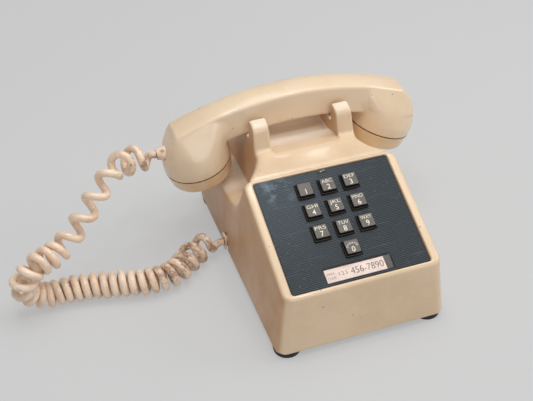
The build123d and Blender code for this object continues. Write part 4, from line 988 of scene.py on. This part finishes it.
# ---------------------------------------------------------------- floor and light
floor_mesh = bpy.data.meshes.new("floor")
floor_mesh.from_pydata([(-6, -6, 0), (6, -6, 0), (6, 6, 0), (-6, 6, 0)], [], [(0, 1, 2, 3)])
floor = linked("floor", floor_mesh)
floor_paint, tree, shader, _ = new_material("floor_paint")
tree.feed(shader, {"Base Color": linear(205, 205, 205), "Roughness": 0.9, "Specular IOR Level": 0.1})
glow = tree.node("ShaderNodeEmission", {"Color": linear(208.5, 208.5, 208.5), "Strength": 1.0})
rays = tree.node("ShaderNodeLightPath").outputs
seen = tree.most(rays["Is Camera Ray"], tree.most(rays["Is Glossy Ray"], rays["Is Transmission Ray"]))
even = tree.node("ShaderNodeMixShader", {0: tree.times(seen, 0.6), 1: shader.outputs[0], 2: glow.outputs[0]})
tree.set(floor_paint.node_tree.nodes["Material Output"].inputs["Surface"], even)
floor_mesh.materials.append(floor_paint)

world = bpy.data.worlds.new("studio")
scene.world = world
world.use_nodes = True
background = world.node_tree.nodes["Background"]
background.inputs["Color"].default_value = (1.0, 1.0, 1.0, 1)
background.inputs["Strength"].default_value = 0.27

BASE_MIDDLE, CRADLE = (0, 0, 0.05), (0, 0, 0.08)
for name, spot, aim, size, power in (
    ("overhead", (0.15, 0.15, 1.25), BASE_MIDDLE, 1.2, 7.4),
    ("behind_1", (0.41, 0.87, 1.02), CRADLE, 0.045, 0.036),
    ("behind_2", (0.33, 0.90, 1.00), CRADLE, 0.03, 0.02),
    ("right", (1.20, -0.20, 0.95), BASE_MIDDLE, 0.6, 5.0),
    ("front", (0.05, -1.40, 0.80), BASE_MIDDLE, 0.8, 3.35),
    ("left", (-1.30, -0.35, 0.70), BASE_MIDDLE, 0.8, 1.0),
    ("ceiling_1", (-0.20, -0.45, 1.45), BASE_MIDDLE, 0.12, 1.1),
    ("ceiling_2", (0.30, -0.45, 1.45), BASE_MIDDLE, 0.12, 1.1),
    ("ceiling_3", (-0.20, 0.15, 1.45), BASE_MIDDLE, 0.12, 1.1),
    ("ceiling_4", (0.30, 0.15, 1.45), BASE_MIDDLE, 0.12, 1.1),
):
    lamp = linked(name, bpy.data.lights.new(name, "AREA"))
    lamp.data.shape = "SQUARE"
    lamp.data.size = size
    lamp.data.energy = power
    lamp.location = spot
    lamp.rotation_euler = (Vector(aim) - Vector(spot)).to_track_quat("-Z", "Y").to_euler()

scene.view_settings.view_transform = "Standard"
